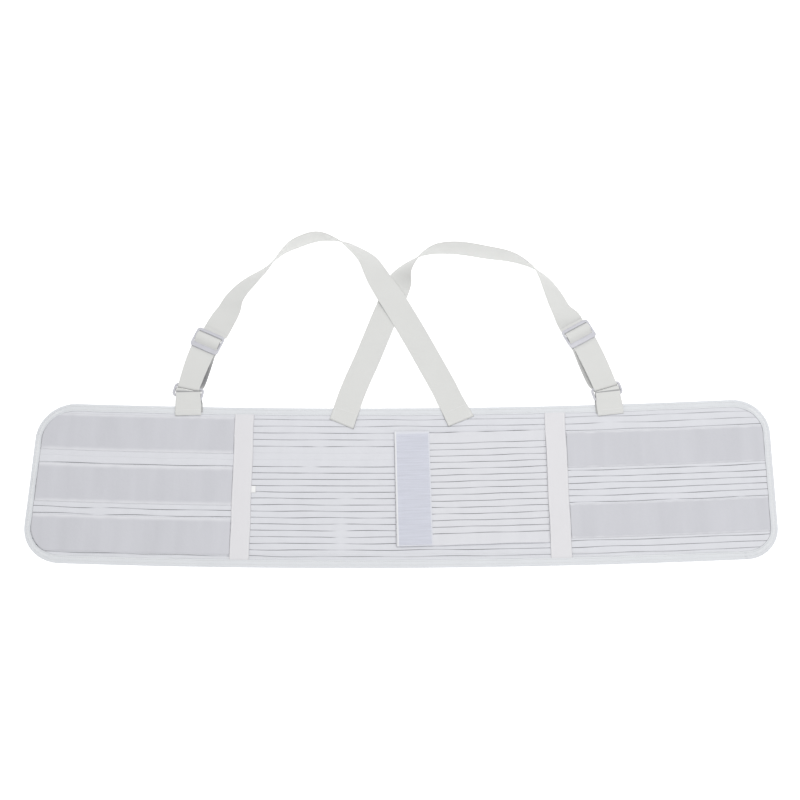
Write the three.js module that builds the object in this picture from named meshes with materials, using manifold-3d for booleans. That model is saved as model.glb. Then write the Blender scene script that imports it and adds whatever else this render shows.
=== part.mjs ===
// Rib belt: a wide ribbed elastic belt with crossed shoulder straps, laid flat.
// Millimetres, +X along the belt, +Y towards the straps, +Z up. The origin is the middle of the underside.
import * as THREE from 'three';
import { mergeVertices } from 'three/addons/utils/BufferGeometryUtils.js';
import Module from 'manifold-3d';

const wasm = await Module();
wasm.setup();

// Clearance kept between pieces that are sewn or threaded together
const GAP = 0.3;
// How far a cutting solid runs past the faces that it cuts, and how close vertices are merged
const CUT_PAST = 1;
const MERGE_WITHIN = 1e-4;

// Belt body, laid in a slight bow with its ends nearer the straps
const HALF_LENGTH = 531.5;
const HALF_HEIGHT = 120;
const BOW = 12;
const END_LEAN = 0.028;
const CORNER_RADIUS = { bottomRight: 46, topRight: 54, topLeft: 55, bottomLeft: 55 };
const CORNER_STEPS = 6;
const BELT_STEPS = 8;

// Ribbed elastic, with a plain stretch between the lower grooves and the upper ones, which are wider apart
const ELASTIC_THICK = 2.2;
const LOWER_GROOVES = { first: -103.1, pitch: 9.53, count: 15 };
const UPPER_GROOVES = { first: 61.1, pitch: 10.2, count: 5 };
const BAND_GROOVES = { first: -67.55, pitch: 9.65, count: 15 };
const GROOVE_WIDE = 1.6;
const GROOVE_DEEP = 0.6;

// Binding tape folded over the edge
const BINDING_WIDE_SIDE = 12;
const BINDING_WIDE_END = 9.5;
const BINDING_WALL = 0.6;
const BINDING_THICK = 2.5;

// Tapes on the front face, which lie one clearance above the elastic
const FRONT = ELASTIC_THICK + GAP;
const SEAM_WIDE = 28;
const SEAM_THICK = 0.9;
const LEFT_SEAM_X = -228;
const RIGHT_SEAM_X = 223;
const PILE_THICK = 1.4;
const PILE_BANDS = [
  { name: 'left_pile_band_1', side: 'left', y: 77, wide: 56 },
  { name: 'left_pile_band_2', side: 'left', y: 0, wide: 58 },
  { name: 'left_pile_band_3', side: 'left', y: -75.2, wide: 54.4 },
  { name: 'right_pile_band_1', side: 'right', y: 52, wide: 54.4 },
  { name: 'right_pile_band_2', side: 'right', y: -54.8, wide: 51.6 },
];
const TAG = { wide: 6, tall: 10, thick: 0.6, y: -4.5 };

// Second elastic band, sewn at the right seam tape, with a hook patch at its free end
const TENSION = { tall: 169.6, thick: 1.8, freeX: -8, y: -0.8, turn: 0.85, steps: 3 };
const HOOK = { wide: 50.6, tall: 172.4, thick: 1.2, x: 17, y: -3.9, turn: 1.15 };

// Webbing of the straps and tabs
const WEBBING_WIDE = 37;
const WEBBING_THICK = 1.2;
const STEPS_PER_ROW = 3;

// Two-window slider and rectangular ring
const SLIDER = { wide: 44, tall: 26, thick: 2.6, bar: 3.6, end: 2.8, corner: 3, bevel: 0.9, z: 6 };
const RING = { wide: 46.5, tall: 20, thick: 3.5, bar: 4, end: 3.5, corner: 4, bevel: 1, z: 3.6 };
const BEVEL_STEPS = 1;
const ARC_STEPS = 2;
const WINDOW_CORNER = 1;
// Play of the webbing round a bar, and how the front layer bulges between slider and ring
const BAR_PLAY = 0.5;
const LAYER_CLIMB = { run: 8, rise: 1.5 };
const LAYER_BULGE = { part: 0.6, rise: 1 };
// The back layer leaves the ring square, drifts sideways and comes back to the slider,
// where its end goes round the middle bar to this many degrees past the top
const RETURN_SQUARE = 2 * RING.bar;
const RETURN_NEAR_PART = 0.33;
const END_PAST_TOP = 20;
const WRAP_STEPS = 8;
// How far a tab's back layer runs level past the belt's edge
const TAB_LEVEL_PAST = 1;

// Each strap lies flat, stands up on its outer edge round the arch and lies down again towards its slider.
// A row is the middle of the webbing in plan, its roll in degrees, which lifts the inner edge,
// and the height of its lowest edge.
const LEFT_STRAP_ROWS = [
  { x: 86, y: 98.5, roll: 0, lift: 2.8 },
  { x: 69, y: 134, roll: 0, lift: 2.8 },
  { x: 62, y: 150, roll: 0, lift: 1.2 },
  { x: 54, y: 166, roll: 0, lift: 0 },
  { x: 39, y: 195, roll: 0, lift: 0 },
  { x: 14, y: 242, roll: 0, lift: 2 },
  { x: -13, y: 289, roll: 0, lift: 4 },
  { x: -32, y: 319, roll: 20, lift: 5 },
  { x: -48, y: 349, roll: 45, lift: 1 },
  { x: -63, y: 364, roll: 58, lift: 0 },
  { x: -87, y: 378, roll: 72, lift: 0 },
  { x: -121, y: 385, roll: 90, lift: 0 },
  { x: -152, y: 376, roll: 91, lift: 0 },
  { x: -170, y: 365, roll: 84, lift: 0 },
  { x: -188, y: 346, roll: 74, lift: 0 },
  { x: -202, y: 332, roll: 64, lift: 0 },
  { x: -221, y: 317, roll: 52, lift: 0 },
  { x: -236, y: 302, roll: 44, lift: 0 },
  { x: -248, y: 286, roll: 36, lift: 0.5 },
  { x: -254, y: 271, roll: 22, lift: 1.5 },
  { x: -261, y: 257, roll: 10, lift: 2.5 },
];
const RIGHT_STRAP_ROWS = [
  { x: -86, y: 95.5, roll: 0, lift: 2.8 },
  { x: -75, y: 133, roll: 0, lift: 2.8 },
  { x: -70, y: 149, roll: 0, lift: 1.2 },
  { x: -64, y: 165, roll: 0, lift: 0 },
  { x: -51, y: 195, roll: 0, lift: 0 },
  { x: -38, y: 227, roll: 0, lift: 0 },
  { x: -23, y: 267, roll: 0, lift: 0 },
  { x: -9, y: 301, roll: 0, lift: 0 },
  { x: -3, y: 315, roll: 10, lift: 0 },
  { x: 4, y: 329, roll: 38, lift: 0 },
  { x: 19, y: 346, roll: 63, lift: 0 },
  { x: 34, y: 357, roll: 77, lift: 0 },
  { x: 54, y: 364, roll: 89, lift: 0 },
  { x: 86, y: 365, roll: 95, lift: 0 },
  { x: 127, y: 358, roll: 95, lift: 0 },
  { x: 168, y: 349, roll: 88, lift: 0 },
  { x: 200, y: 330, roll: 75, lift: 0 },
  { x: 212, y: 315, roll: 62, lift: 0 },
  { x: 221, y: 299, roll: 52, lift: 0 },
  { x: 229, y: 284, roll: 40, lift: 0.5 },
  { x: 236.5, y: 269.5, roll: 26, lift: 1.5 },
  { x: 245.5, y: 256.5, roll: 12, lift: 2.5 },
];

// Where each strap's hardware lies, with turns in degrees anticlockwise.
// inner is the side of the arch seen along the strap's run: 1 is left of it, -1 right of it.
const SIDES = [
  {
    name: 'left',
    rows: LEFT_STRAP_ROWS,
    inner: 1,
    slider: { x: -282, y: 224.5 },
    ring: { x: -307.5, y: 147, turn: -8.5 },
    tab: { x: -307.5, y: 110, turn: 1, slack: 4 },
    returnShift: 3,
  },
  {
    name: 'right',
    rows: RIGHT_STRAP_ROWS,
    inner: -1,
    slider: { x: 260.5, y: 232.5 },
    ring: { x: 298.5, y: 144.5, turn: 17 },
    tab: { x: 303, y: 107.5, turn: 6, slack: 5 },
    returnShift: 2,
  },
];

// Finishes
const FINISH = {
  elastic: { color: '#dcdde1', roughness: 0.85, metalness: 0 },
  binding: { color: '#d8dadd', roughness: 0.8, metalness: 0 },
  seam: { color: '#e4e4e7', roughness: 0.85, metalness: 0 },
  pile: { color: '#cbcbd1', roughness: 0.95, metalness: 0 },
  hook: { color: '#d3d6e0', roughness: 0.7, metalness: 0 },
  webbing: { color: '#dedfdc', roughness: 0.8, metalness: 0 },
  plastic: { color: '#d3d2d8', roughness: 0.4, metalness: 0 },
};

const belt = new THREE.Group();

function addPiece(name, geometry, finish) {
  const mesh = new THREE.Mesh(geometry, new THREE.MeshStandardMaterial(FINISH[finish]));
  mesh.name = name;
  belt.add(mesh);
}

// Solids for joining and cutting
function toSolid(geometry) {
  const bare = geometry.clone();
  bare.deleteAttribute('normal');
  bare.deleteAttribute('uv');
  const merged = mergeVertices(bare, MERGE_WITHIN);
  const vertProperties = new Float32Array(merged.getAttribute('position').array);
  const triVerts = new Uint32Array(merged.getIndex().array);
  return new wasm.Manifold(new wasm.Mesh({ numProp: 3, vertProperties, triVerts }));
}

function toGeometry(solid) {
  const mesh = solid.getMesh();
  const geometry = new THREE.BufferGeometry();
  geometry.setAttribute('position', new THREE.BufferAttribute(mesh.vertProperties, 3));
  geometry.setIndex(new THREE.BufferAttribute(mesh.triVerts, 1));
  return geometry;
}

// The bow turns each cross-section of the belt with its slope
function bent(x, y) {
  const slope = (2 * BOW * x) / HALF_LENGTH ** 2;
  return new THREE.Vector2(x - y * slope, y + BOW * (x / HALF_LENGTH) ** 2);
}

function bend(geometry) {
  const position = geometry.getAttribute('position');
  for (let i = 0; i < position.count; i += 1) {
    const point = bent(position.getX(i), position.getY(i));
    position.setXY(i, point.x, point.y);
  }
  return geometry;
}

// Belt outline, inset from the ends and the long sides, with four rounded corners
function beltOutline(insetEnd, insetSide) {
  const halfX = HALF_LENGTH - insetEnd;
  const halfY = HALF_HEIGHT - insetSide;
  const corners = [
    { sx: 1, sy: -1, radius: CORNER_RADIUS.bottomRight, start: -90 },
    { sx: 1, sy: 1, radius: CORNER_RADIUS.topRight, start: 0 },
    { sx: -1, sy: 1, radius: CORNER_RADIUS.topLeft, start: 90 },
    { sx: -1, sy: -1, radius: CORNER_RADIUS.bottomLeft, start: 180 },
  ];
  const points = [];
  for (const corner of corners) {
    const radius = corner.radius - (insetEnd + insetSide) / 2;
    for (let i = 0; i <= CORNER_STEPS; i += 1) {
      const angle = THREE.MathUtils.degToRad(corner.start + (90 * i) / CORNER_STEPS);
      const x = corner.sx * (halfX - radius) + radius * Math.cos(angle);
      const y = corner.sy * (halfY - radius) + radius * Math.sin(angle);
      points.push({ x, y });
    }
    // The long side that follows a top right or a bottom left corner, split so that it can bow
    const runs = corner.sx === corner.sy;
    for (let i = 1; runs && i < BELT_STEPS; i += 1) {
      points.push({ x: corner.sx * HALF_LENGTH * (1 - (2 * i) / BELT_STEPS), y: corner.sy * halfY });
    }
  }
  return points.map((point) => bent(point.x + END_LEAN * point.y, point.y));
}

function outlinePrism(insetEnd, insetSide, bottom, top) {
  const shape = new THREE.Shape(beltOutline(insetEnd, insetSide));
  const geometry = new THREE.ExtrudeGeometry(shape, { depth: top - bottom, bevelEnabled: false });
  return toSolid(geometry.translate(0, 0, bottom));
}

// Flat tape on the belt, cut square and bent with it
function tape(x0, x1, y0, y1, bottom, thick) {
  const geometry = new THREE.BoxGeometry(x1 - x0, y1 - y0, thick, BELT_STEPS / 2, 1, 1);
  return bend(geometry.translate((x0 + x1) / 2, (y0 + y1) / 2, bottom + thick / 2));
}

// Ribbed elastic from x0 to x1, with a groove on both faces at each given y
function ribbedElastic(x0, x1, halfTall, thick, grooves, steps) {
  const shape = new THREE.Shape();
  shape.moveTo(-halfTall, 0);
  for (const y of grooves) {
    shape.lineTo(y - GROOVE_WIDE / 2, 0);
    shape.lineTo(y, GROOVE_DEEP);
    shape.lineTo(y + GROOVE_WIDE / 2, 0);
  }
  shape.lineTo(halfTall, 0);
  shape.lineTo(halfTall, thick);
  for (const y of [...grooves].reverse()) {
    shape.lineTo(y + GROOVE_WIDE / 2, thick);
    shape.lineTo(y, thick - GROOVE_DEEP);
    shape.lineTo(y - GROOVE_WIDE / 2, thick);
  }
  shape.lineTo(-halfTall, thick);
  const geometry = new THREE.ExtrudeGeometry(shape, { depth: x1 - x0, steps, bevelEnabled: false });
  const alongX = new THREE.Matrix4().makeBasis(
    new THREE.Vector3(0, 1, 0),
    new THREE.Vector3(0, 0, 1),
    new THREE.Vector3(1, 0, 0),
  );
  return geometry.applyMatrix4(alongX).translate(x0, 0, 0);
}

function groovePlaces(grooves) {
  const places = [];
  for (let i = 0; i < grooves.count; i += 1) {
    places.push(grooves.first + i * grooves.pitch);
  }
  return places;
}

// Three panels of one elastic: a ribbed field with a thin edge that goes into the binding
function addPanels() {
  const grooves = [...groovePlaces(LOWER_GROOVES), ...groovePlaces(UPPER_GROOVES)];
  const strip = ribbedElastic(-HALF_LENGTH, HALF_LENGTH, HALF_HEIGHT, ELASTIC_THICK, grooves, BELT_STEPS);
  const fieldTop = ELASTIC_THICK + CUT_PAST;
  const inner = outlinePrism(BINDING_WIDE_END + GAP, BINDING_WIDE_SIDE + GAP, -CUT_PAST, fieldTop);
  const edgeInset = BINDING_WALL + GAP;
  const edge = outlinePrism(edgeInset, edgeInset, edgeInset, BINDING_THICK - edgeInset);
  const whole = toSolid(bend(strip)).intersect(inner).add(edge);
  const panels = [
    { name: 'left_end_panel', from: -HALF_LENGTH - SEAM_WIDE, to: LEFT_SEAM_X - GAP / 2 },
    { name: 'centre_panel', from: LEFT_SEAM_X + GAP / 2, to: RIGHT_SEAM_X - GAP / 2 },
    { name: 'right_end_panel', from: RIGHT_SEAM_X + GAP / 2, to: HALF_LENGTH + SEAM_WIDE },
  ];
  for (const panel of panels) {
    const cutThick = ELASTIC_THICK + 2 * CUT_PAST;
    const cutter = tape(panel.from, panel.to, -2 * HALF_HEIGHT, 2 * HALF_HEIGHT, -CUT_PAST, cutThick);
    addPiece(panel.name, toGeometry(whole.intersect(toSolid(cutter))), 'elastic');
  }
}

// Tape folded round the whole edge, open towards the elastic
function addBinding() {
  const outer = outlinePrism(0, 0, 0, BINDING_THICK);
  const fold = outlinePrism(BINDING_WALL, BINDING_WALL, BINDING_WALL, BINDING_THICK - BINDING_WALL);
  const window = outlinePrism(BINDING_WIDE_END, BINDING_WIDE_SIDE, -CUT_PAST, BINDING_THICK + CUT_PAST);
  addPiece('binding', toGeometry(outer.subtract(fold).subtract(window)), 'binding');
}

// Plain tapes over the two panel seams
function addSeamTapes() {
  const halfTall = HALF_HEIGHT - BINDING_WIDE_SIDE - GAP;
  for (const [name, x] of [['left_seam_tape', LEFT_SEAM_X], ['right_seam_tape', RIGHT_SEAM_X]]) {
    const geometry = tape(x - SEAM_WIDE / 2, x + SEAM_WIDE / 2, -halfTall, halfTall, FRONT, SEAM_THICK);
    addPiece(name, geometry, 'seam');
  }
}

// Loop pile bands on the end panels, rounded where they meet the corners
function addPileBands() {
  const inside = outlinePrism(BINDING_WIDE_END + GAP, BINDING_WIDE_SIDE + GAP, 0, FRONT + 2 * PILE_THICK);
  const reach = {
    left: [-HALF_LENGTH - SEAM_WIDE, LEFT_SEAM_X - SEAM_WIDE / 2 - GAP],
    right: [RIGHT_SEAM_X + SEAM_WIDE / 2 + GAP, HALF_LENGTH + SEAM_WIDE],
  };
  for (const band of PILE_BANDS) {
    const [x0, x1] = reach[band.side];
    const strip = tape(x0, x1, band.y - band.wide / 2, band.y + band.wide / 2, FRONT, PILE_THICK);
    addPiece(band.name, toGeometry(toSolid(strip).intersect(inside)), 'pile');
  }
}

// Small blank tag beside the left seam tape
function addTag() {
  const x = LEFT_SEAM_X + SEAM_WIDE / 2 + GAP;
  const y = TAG.y - TAG.tall / 2;
  addPiece('tag', tape(x, x + TAG.wide, y, y + TAG.tall, FRONT, TAG.thick), 'seam');
}

// Tension band lying over the centre panel, and the hook patch at its free end
function addTensionBand() {
  const sewnX = RIGHT_SEAM_X - SEAM_WIDE / 2 - GAP;
  const reach = sewnX - TENSION.freeX;
  const band = ribbedElastic(
    -reach,
    0,
    TENSION.tall / 2,
    TENSION.thick,
    groovePlaces(BAND_GROOVES),
    TENSION.steps,
  );
  // The band swings about its sewn end, which stays along the seam tape
  const swing = Math.tan(THREE.MathUtils.degToRad(TENSION.turn));
  const position = band.getAttribute('position');
  for (let i = 0; i < position.count; i += 1) {
    const x = position.getX(i);
    const y = position.getY(i);
    position.setXY(i, x + (swing * y * x) / reach, y + swing * x);
  }
  addPiece('tension_band', bend(band.translate(sewnX, TENSION.y, FRONT)), 'elastic');

  const patch = new THREE.BoxGeometry(HOOK.wide, HOOK.tall, HOOK.thick);
  patch.rotateZ(THREE.MathUtils.degToRad(HOOK.turn));
  patch.translate(HOOK.x, HOOK.y, FRONT + TENSION.thick + GAP + HOOK.thick / 2);
  addPiece('hook_patch', bend(patch), 'hook');
}

// Closed ribbon of webbing through stations that each give a middle point and the direction across
function ribbon(stations) {
  const rings = [];
  stations.forEach((station, i) => {
    const before = stations[Math.max(i - 1, 0)].point;
    const after = stations[Math.min(i + 1, stations.length - 1)].point;
    const along = after.clone().sub(before).normalize();
    const normal = new THREE.Vector3().crossVectors(along, station.across).normalize();
    const half = station.across.clone().multiplyScalar(WEBBING_WIDE / 2);
    const rise = normal.multiplyScalar(WEBBING_THICK / 2);
    rings.push([
      station.point.clone().sub(half).sub(rise),
      station.point.clone().add(half).sub(rise),
      station.point.clone().add(half).add(rise),
      station.point.clone().sub(half).add(rise),
    ]);
  });
  const index = [];
  for (let i = 0; i + 1 < rings.length; i += 1) {
    for (let k = 0; k < 4; k += 1) {
      const a = 4 * i + k;
      const b = 4 * i + ((k + 1) % 4);
      index.push(a, b, b + 4, a, b + 4, a + 4);
    }
  }
  const last = 4 * (rings.length - 1);
  index.push(0, 2, 1, 0, 3, 2, last, last + 1, last + 2, last, last + 2, last + 3);
  const geometry = new THREE.BufferGeometry().setFromPoints(rings.flat());
  geometry.setIndex(index);
  return geometry;
}

// Direction in plan at a turn in degrees anticlockwise from +Y
function heading(turn) {
  const angle = THREE.MathUtils.degToRad(turn);
  return new THREE.Vector3(-Math.sin(angle), Math.cos(angle), 0);
}

// Half turn round a bar, from its top to its underside or back, in the plane of run and height
function wrapPoints(run, z, reach, rise, from, to, steps) {
  const points = [];
  for (let i = 0; i <= steps; i += 1) {
    const angle = THREE.MathUtils.degToRad(from + ((to - from) * i) / steps);
    points.push({ run: run + reach * Math.sin(angle), z: z + rise * Math.cos(angle) });
  }
  return points;
}

// Upper stretch of a strap: sewn foot, crossing and arch, down to the slider, which it enters straight
function strapRows(side, entry) {
  const rows = [...side.rows, { x: entry.x, y: entry.y, roll: 0, lift: entry.z - WEBBING_THICK / 2 }];
  const plan = [...rows, side.slider].map((row) => new THREE.Vector3(row.x, row.y, 0));
  const curve = new THREE.CatmullRomCurve3(plan);
  const stations = [];
  const count = rows.length * STEPS_PER_ROW;
  for (let i = 0; i < count - STEPS_PER_ROW; i += 1) {
    const row = Math.floor(i / STEPS_PER_ROW);
    const part = (i % STEPS_PER_ROW) / STEPS_PER_ROW;
    const roll = THREE.MathUtils.degToRad(THREE.MathUtils.lerp(rows[row].roll, rows[row + 1].roll, part));
    const lift = THREE.MathUtils.lerp(rows[row].lift, rows[row + 1].lift, part);
    const middle = lift + WEBBING_THICK / 2 + (WEBBING_WIDE / 2) * Math.sin(roll);
    const along = curve.getTangent(i / count);
    const inner = new THREE.Vector3(-along.y, along.x, 0).normalize().multiplyScalar(side.inner);
    const across = inner.multiplyScalar(Math.cos(roll)).add(new THREE.Vector3(0, 0, Math.sin(roll)));
    stations.push({ point: curve.getPoint(i / count).setZ(middle), across });
  }
  return stations;
}

// Lower stretch: through the slider, over the ring's upper bar and back to the slider's middle bar
function addStrap(side) {
  const slider = new THREE.Vector3(side.slider.x, side.slider.y, 0);
  const upperBar = heading(side.ring.turn).multiplyScalar((RING.tall - RING.bar) / 2);
  upperBar.add(new THREE.Vector3(side.ring.x, side.ring.y, 0));
  const run = upperBar.clone().sub(slider);
  const length = run.length();
  run.normalize();
  const sliderAcross = new THREE.Vector3(-run.y, run.x, 0).multiplyScalar(side.inner);
  const ringAcross = heading(side.ring.turn - 90).multiplyScalar(side.inner);

  const layer = WEBBING_THICK + GAP;
  const underBar = SLIDER.z - SLIDER.thick / 2 - GAP - WEBBING_THICK / 2;
  const overBar = SLIDER.z + SLIDER.thick / 2 + GAP + WEBBING_THICK / 2;
  const overWrap = overBar + layer;
  const barInside = SLIDER.tall / 2 - SLIDER.bar - WEBBING_THICK / 2;
  const barOutside = SLIDER.tall / 2 + WEBBING_THICK;
  const wrapReach = SLIDER.bar / 2 + GAP + WEBBING_THICK / 2;
  const rampTop = barInside - (overWrap - underBar);
  const ringReach = RING.bar / 2 + BAR_PLAY + WEBBING_THICK / 2;
  const ringRise = RING.thick / 2 + GAP + WEBBING_THICK / 2;
  const bulgeRun = length * LAYER_BULGE.part;

  const front = [
    { run: -barOutside - SLIDER.bar, z: underBar },
    { run: -barOutside, z: underBar },
    { run: -barInside, z: underBar },
    { run: -rampTop, z: overWrap },
    { run: rampTop, z: overWrap },
    { run: barInside, z: underBar },
    { run: barOutside, z: underBar },
    { run: barOutside + LAYER_CLIMB.run, z: underBar + LAYER_CLIMB.rise },
    { run: bulgeRun, z: RING.z + ringRise + LAYER_BULGE.rise },
  ];
  const fold = wrapPoints(length, RING.z, ringReach, ringRise, 0, 180, WRAP_STEPS);
  const drift = side.returnShift;
  const back = [
    { run: length - RETURN_SQUARE, z: RING.z - ringRise, shift: drift },
    { run: bulgeRun, z: RING.z - ringRise, shift: drift },
    { run: barOutside + LAYER_CLIMB.run / 2, z: underBar - layer, shift: drift * RETURN_NEAR_PART },
    { run: barInside, z: underBar - layer, shift: 0 },
  ];
  const end = wrapPoints(0, SLIDER.z, -wrapReach, SLIDER.z - underBar, 180, -END_PAST_TOP, WRAP_STEPS);

  const stations = [];
  const place = (step) => {
    const part = THREE.MathUtils.clamp((step.run - barOutside) / (length - barOutside), 0, 1);
    const across = sliderAcross.clone().lerp(ringAcross, part).normalize();
    const point = slider.clone().addScaledVector(run, step.run).setZ(step.z);
    stations.push({ point: point.addScaledVector(across, step.shift ?? 0), across });
  };
  [...front, ...fold, ...back, ...end].forEach(place);
  addPiece(`${side.name}_strap`, ribbon([...strapRows(side, stations[0].point), ...stations]), 'webbing');
}

// Rounded rectangle drawn anticlockwise
function roundedRectangle(path, wide, tall, radius, x, y) {
  const right = x + wide / 2 - radius;
  const top = y + tall / 2 - radius;
  const left = x - wide / 2 + radius;
  const bottom = y - tall / 2 + radius;
  path.absarc(right, top, radius, 0, Math.PI / 2);
  path.absarc(left, top, radius, Math.PI / 2, Math.PI);
  path.absarc(left, bottom, radius, Math.PI, 1.5 * Math.PI);
  path.absarc(right, bottom, radius, 1.5 * Math.PI, 2 * Math.PI);
}

// Moulded frame with one or two windows, lying flat and turned in plan
function frame(size, windows, place, turn) {
  const bevel = size.bevel;
  const outline = new THREE.Shape();
  roundedRectangle(outline, size.wide - 2 * bevel, size.tall - 2 * bevel, size.corner, 0, 0);
  const tall = (size.tall - (windows + 1) * size.bar) / windows;
  for (let i = 0; i < windows; i += 1) {
    const y = (i - (windows - 1) / 2) * (tall + size.bar);
    const wide = size.wide - 2 * size.end;
    const window = new THREE.Path();
    roundedRectangle(window, wide + 2 * bevel, tall + 2 * bevel, WINDOW_CORNER + bevel, 0, y);
    outline.holes.push(window);
  }
  const geometry = new THREE.ExtrudeGeometry(outline, {
    depth: size.thick - 2 * bevel,
    bevelThickness: bevel,
    bevelSize: bevel,
    bevelSegments: BEVEL_STEPS,
    curveSegments: ARC_STEPS,
  });
  geometry.translate(0, 0, bevel - size.thick / 2);
  geometry.rotateZ(THREE.MathUtils.degToRad(turn));
  return geometry.translate(place.x, place.y, size.z);
}

function addHardware(side) {
  const run = new THREE.Vector2(side.ring.x - side.slider.x, side.ring.y - side.slider.y);
  const upperBar = heading(side.ring.turn).multiplyScalar((RING.tall - RING.bar) / 2);
  run.add(new THREE.Vector2(upperBar.x, upperBar.y));
  const turn = THREE.MathUtils.radToDeg(Math.atan2(run.x, -run.y));
  addPiece(`${side.name}_slider`, frame(SLIDER, 2, side.slider, turn), 'plastic');
  addPiece(`${side.name}_ring`, frame(RING, 1, side.ring, side.ring.turn), 'plastic');
}

// Tab of folded webbing, sewn to the top edge, that holds the ring by its lower bar
function addTab(side) {
  const along = heading(side.tab.turn);
  const across = heading(side.tab.turn - 90);
  const lowerBar = heading(side.ring.turn).multiplyScalar((RING.bar - RING.tall) / 2);
  lowerBar.add(new THREE.Vector3(side.ring.x, side.ring.y, 0));
  const sewn = new THREE.Vector3(side.tab.x, side.tab.y, 0);
  const barRun = lowerBar.clone().sub(sewn).dot(along);
  const edgeRun = bent(side.tab.x, HALF_HEIGHT).y - side.tab.y;
  const rise = RING.thick / 2 + GAP + WEBBING_THICK / 2;
  const backZ = BINDING_THICK + GAP + WEBBING_THICK / 2;
  const frontZ = backZ + WEBBING_THICK + GAP;
  const steps = [
    { run: 0, z: backZ },
    { run: edgeRun + TAB_LEVEL_PAST, z: backZ },
    { run: barRun - RING.bar, z: RING.z - rise },
    ...wrapPoints(barRun + side.tab.slack, RING.z, rise, rise, 180, 0, WRAP_STEPS),
    { run: barRun - RING.bar, z: RING.z + rise },
    { run: edgeRun, z: frontZ },
    { run: 0, z: frontZ },
  ];
  const stations = steps.map((step) => ({
    point: sewn.clone().addScaledVector(along, step.run).setZ(step.z),
    across,
  }));
  addPiece(`${side.name}_tab`, ribbon(stations), 'webbing');
}

addPanels();
addBinding();
addSeamTapes();
addPileBands();
addTag();
addTensionBand();
for (const side of SIDES) {
  addStrap(side);
  addHardware(side);
  addTab(side);
}

export default belt;
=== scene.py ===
import math

import bmesh
import bpy
import numpy as np
from mathutils import Matrix, Vector


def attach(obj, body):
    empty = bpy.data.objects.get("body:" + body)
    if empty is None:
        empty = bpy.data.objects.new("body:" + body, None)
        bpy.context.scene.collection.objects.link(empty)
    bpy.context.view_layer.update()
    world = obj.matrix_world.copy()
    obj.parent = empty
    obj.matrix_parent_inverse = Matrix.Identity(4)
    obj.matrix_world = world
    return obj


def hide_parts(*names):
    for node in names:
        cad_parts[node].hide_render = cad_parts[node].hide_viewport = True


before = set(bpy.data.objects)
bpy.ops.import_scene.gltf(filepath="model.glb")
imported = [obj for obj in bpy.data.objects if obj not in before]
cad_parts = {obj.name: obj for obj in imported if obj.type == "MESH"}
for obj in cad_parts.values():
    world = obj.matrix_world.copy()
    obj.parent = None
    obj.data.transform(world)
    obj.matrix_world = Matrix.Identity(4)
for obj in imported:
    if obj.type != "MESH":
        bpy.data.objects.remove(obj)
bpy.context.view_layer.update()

# Sizes are in millimetres, and meshes are made in metres
MM = 0.001

# A wandering line has a rise, a seed and a length. It is a sum of waves, whose lengths spread round its own.
RIPPLE = {"waves": 4, "spread": (0.7, 2.0), "scale": 1.2}

# Belt outline, the same as the solids'
HALF_LENGTH = 531.5
END_EXTRA = {-1: 0.0, 1: 1.5}
HALF_HEIGHT = 120.0
BOW = 12.0
END_LEAN = 0.028
# Corners anticlockwise from the lower right one: right (1) or left, upper (1) or lower, and radius
CORNERS = [(1, -1, 46.0), (1, 1, 54.0), (-1, 1, 55.0), (-1, -1, 55.0)]
CORNER_POINTS = 24
OUTLINE_STEP = 4.0

# The whole belt lies in shallow waves on the floor
LIE_RISE = 1.0
LIE_LONG = {"rise": 0.6, "seed": 11, "length": 210.0, "skew": 0.35}
LIE_CROSS = {"rise": 0.4, "seed": 12, "length": 160.0, "skew": -0.2}

# Ribbed elastic: grooves from the bottom up, and two more that are all but closed
PANEL_TOP = 2.25
PANEL_BOTTOM = 0.35
PANEL_OPENNESS = {"left_end_panel": 0.98, "centre_panel": 1.0, "right_end_panel": 0.9}
LOWER_GROOVES = {"first": -103.1, "pitch": 9.53, "count": 15}
UPPER_GROOVES = {"first": 61.1, "pitch": 10.2, "count": 5}
BAND_GROOVES = {"first": -67.55, "pitch": 9.65, "count": 15}
FAINT_GROOVES = [40.7, 50.9]
FAINT_OPENNESS = 0.07
RIB_PITCH = 9.7
GROOVE_HALF = 0.46
GROOVE_WALL = 0.2
GROOVE_DEEP = 1.15
GROOVE_UNDER = 0.4
GROOVE_OFFSETS = [-0.85, -0.46, -0.26, 0.0, 0.26, 0.46, 0.85]
# How open grooves are along the belt, and how they wander across it, on the panels and on the tension band
GROOVE_VARY = {"mean": 0.72, "swing": 0.34, "low": 0.3, "length": 70.0}
GROOVE_WEIGHT = {"y": [-103.0, -95.0, 35.0, 62.0, 102.0], "share": [0.8, 1.0, 1.0, 0.9, 0.65]}
PANEL_SEED = 100
PANEL_DRIFT = {"rise": 0.5, "seed": 70, "length": 95.0, "skew": 3}
BAND_SEED = 400
BAND_DRIFT = {"rise": 0.5, "seed": 420, "length": 95.0, "skew": 2}
GAPE_REACH = 4.0
CROWN_ROWS = 3
RIB_DOME = 0.25
COLUMN_STEP = 4.0
# Places where pressed cloth closes the panels' grooves: x, y, and the reach along and across
PRESSED = [
    (-430.0, -41.0, 16.0, 11.0), (-424.0, 36.0, 12.0, 5.0), (-86.0, -69.0, 11.0, 24.0),
    (-131.0, 31.0, 14.0, 6.0), (-118.0, 64.0, 14.0, 5.0), (-80.0, -20.0, 16.0, 6.0),
    (437.0, 25.0, 16.0, 4.0), (388.0, -24.0, 7.0, 4.0), (483.0, -24.0, 9.0, 4.0), (300.0, 90.0, 18.0, 4.0),
]

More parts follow.
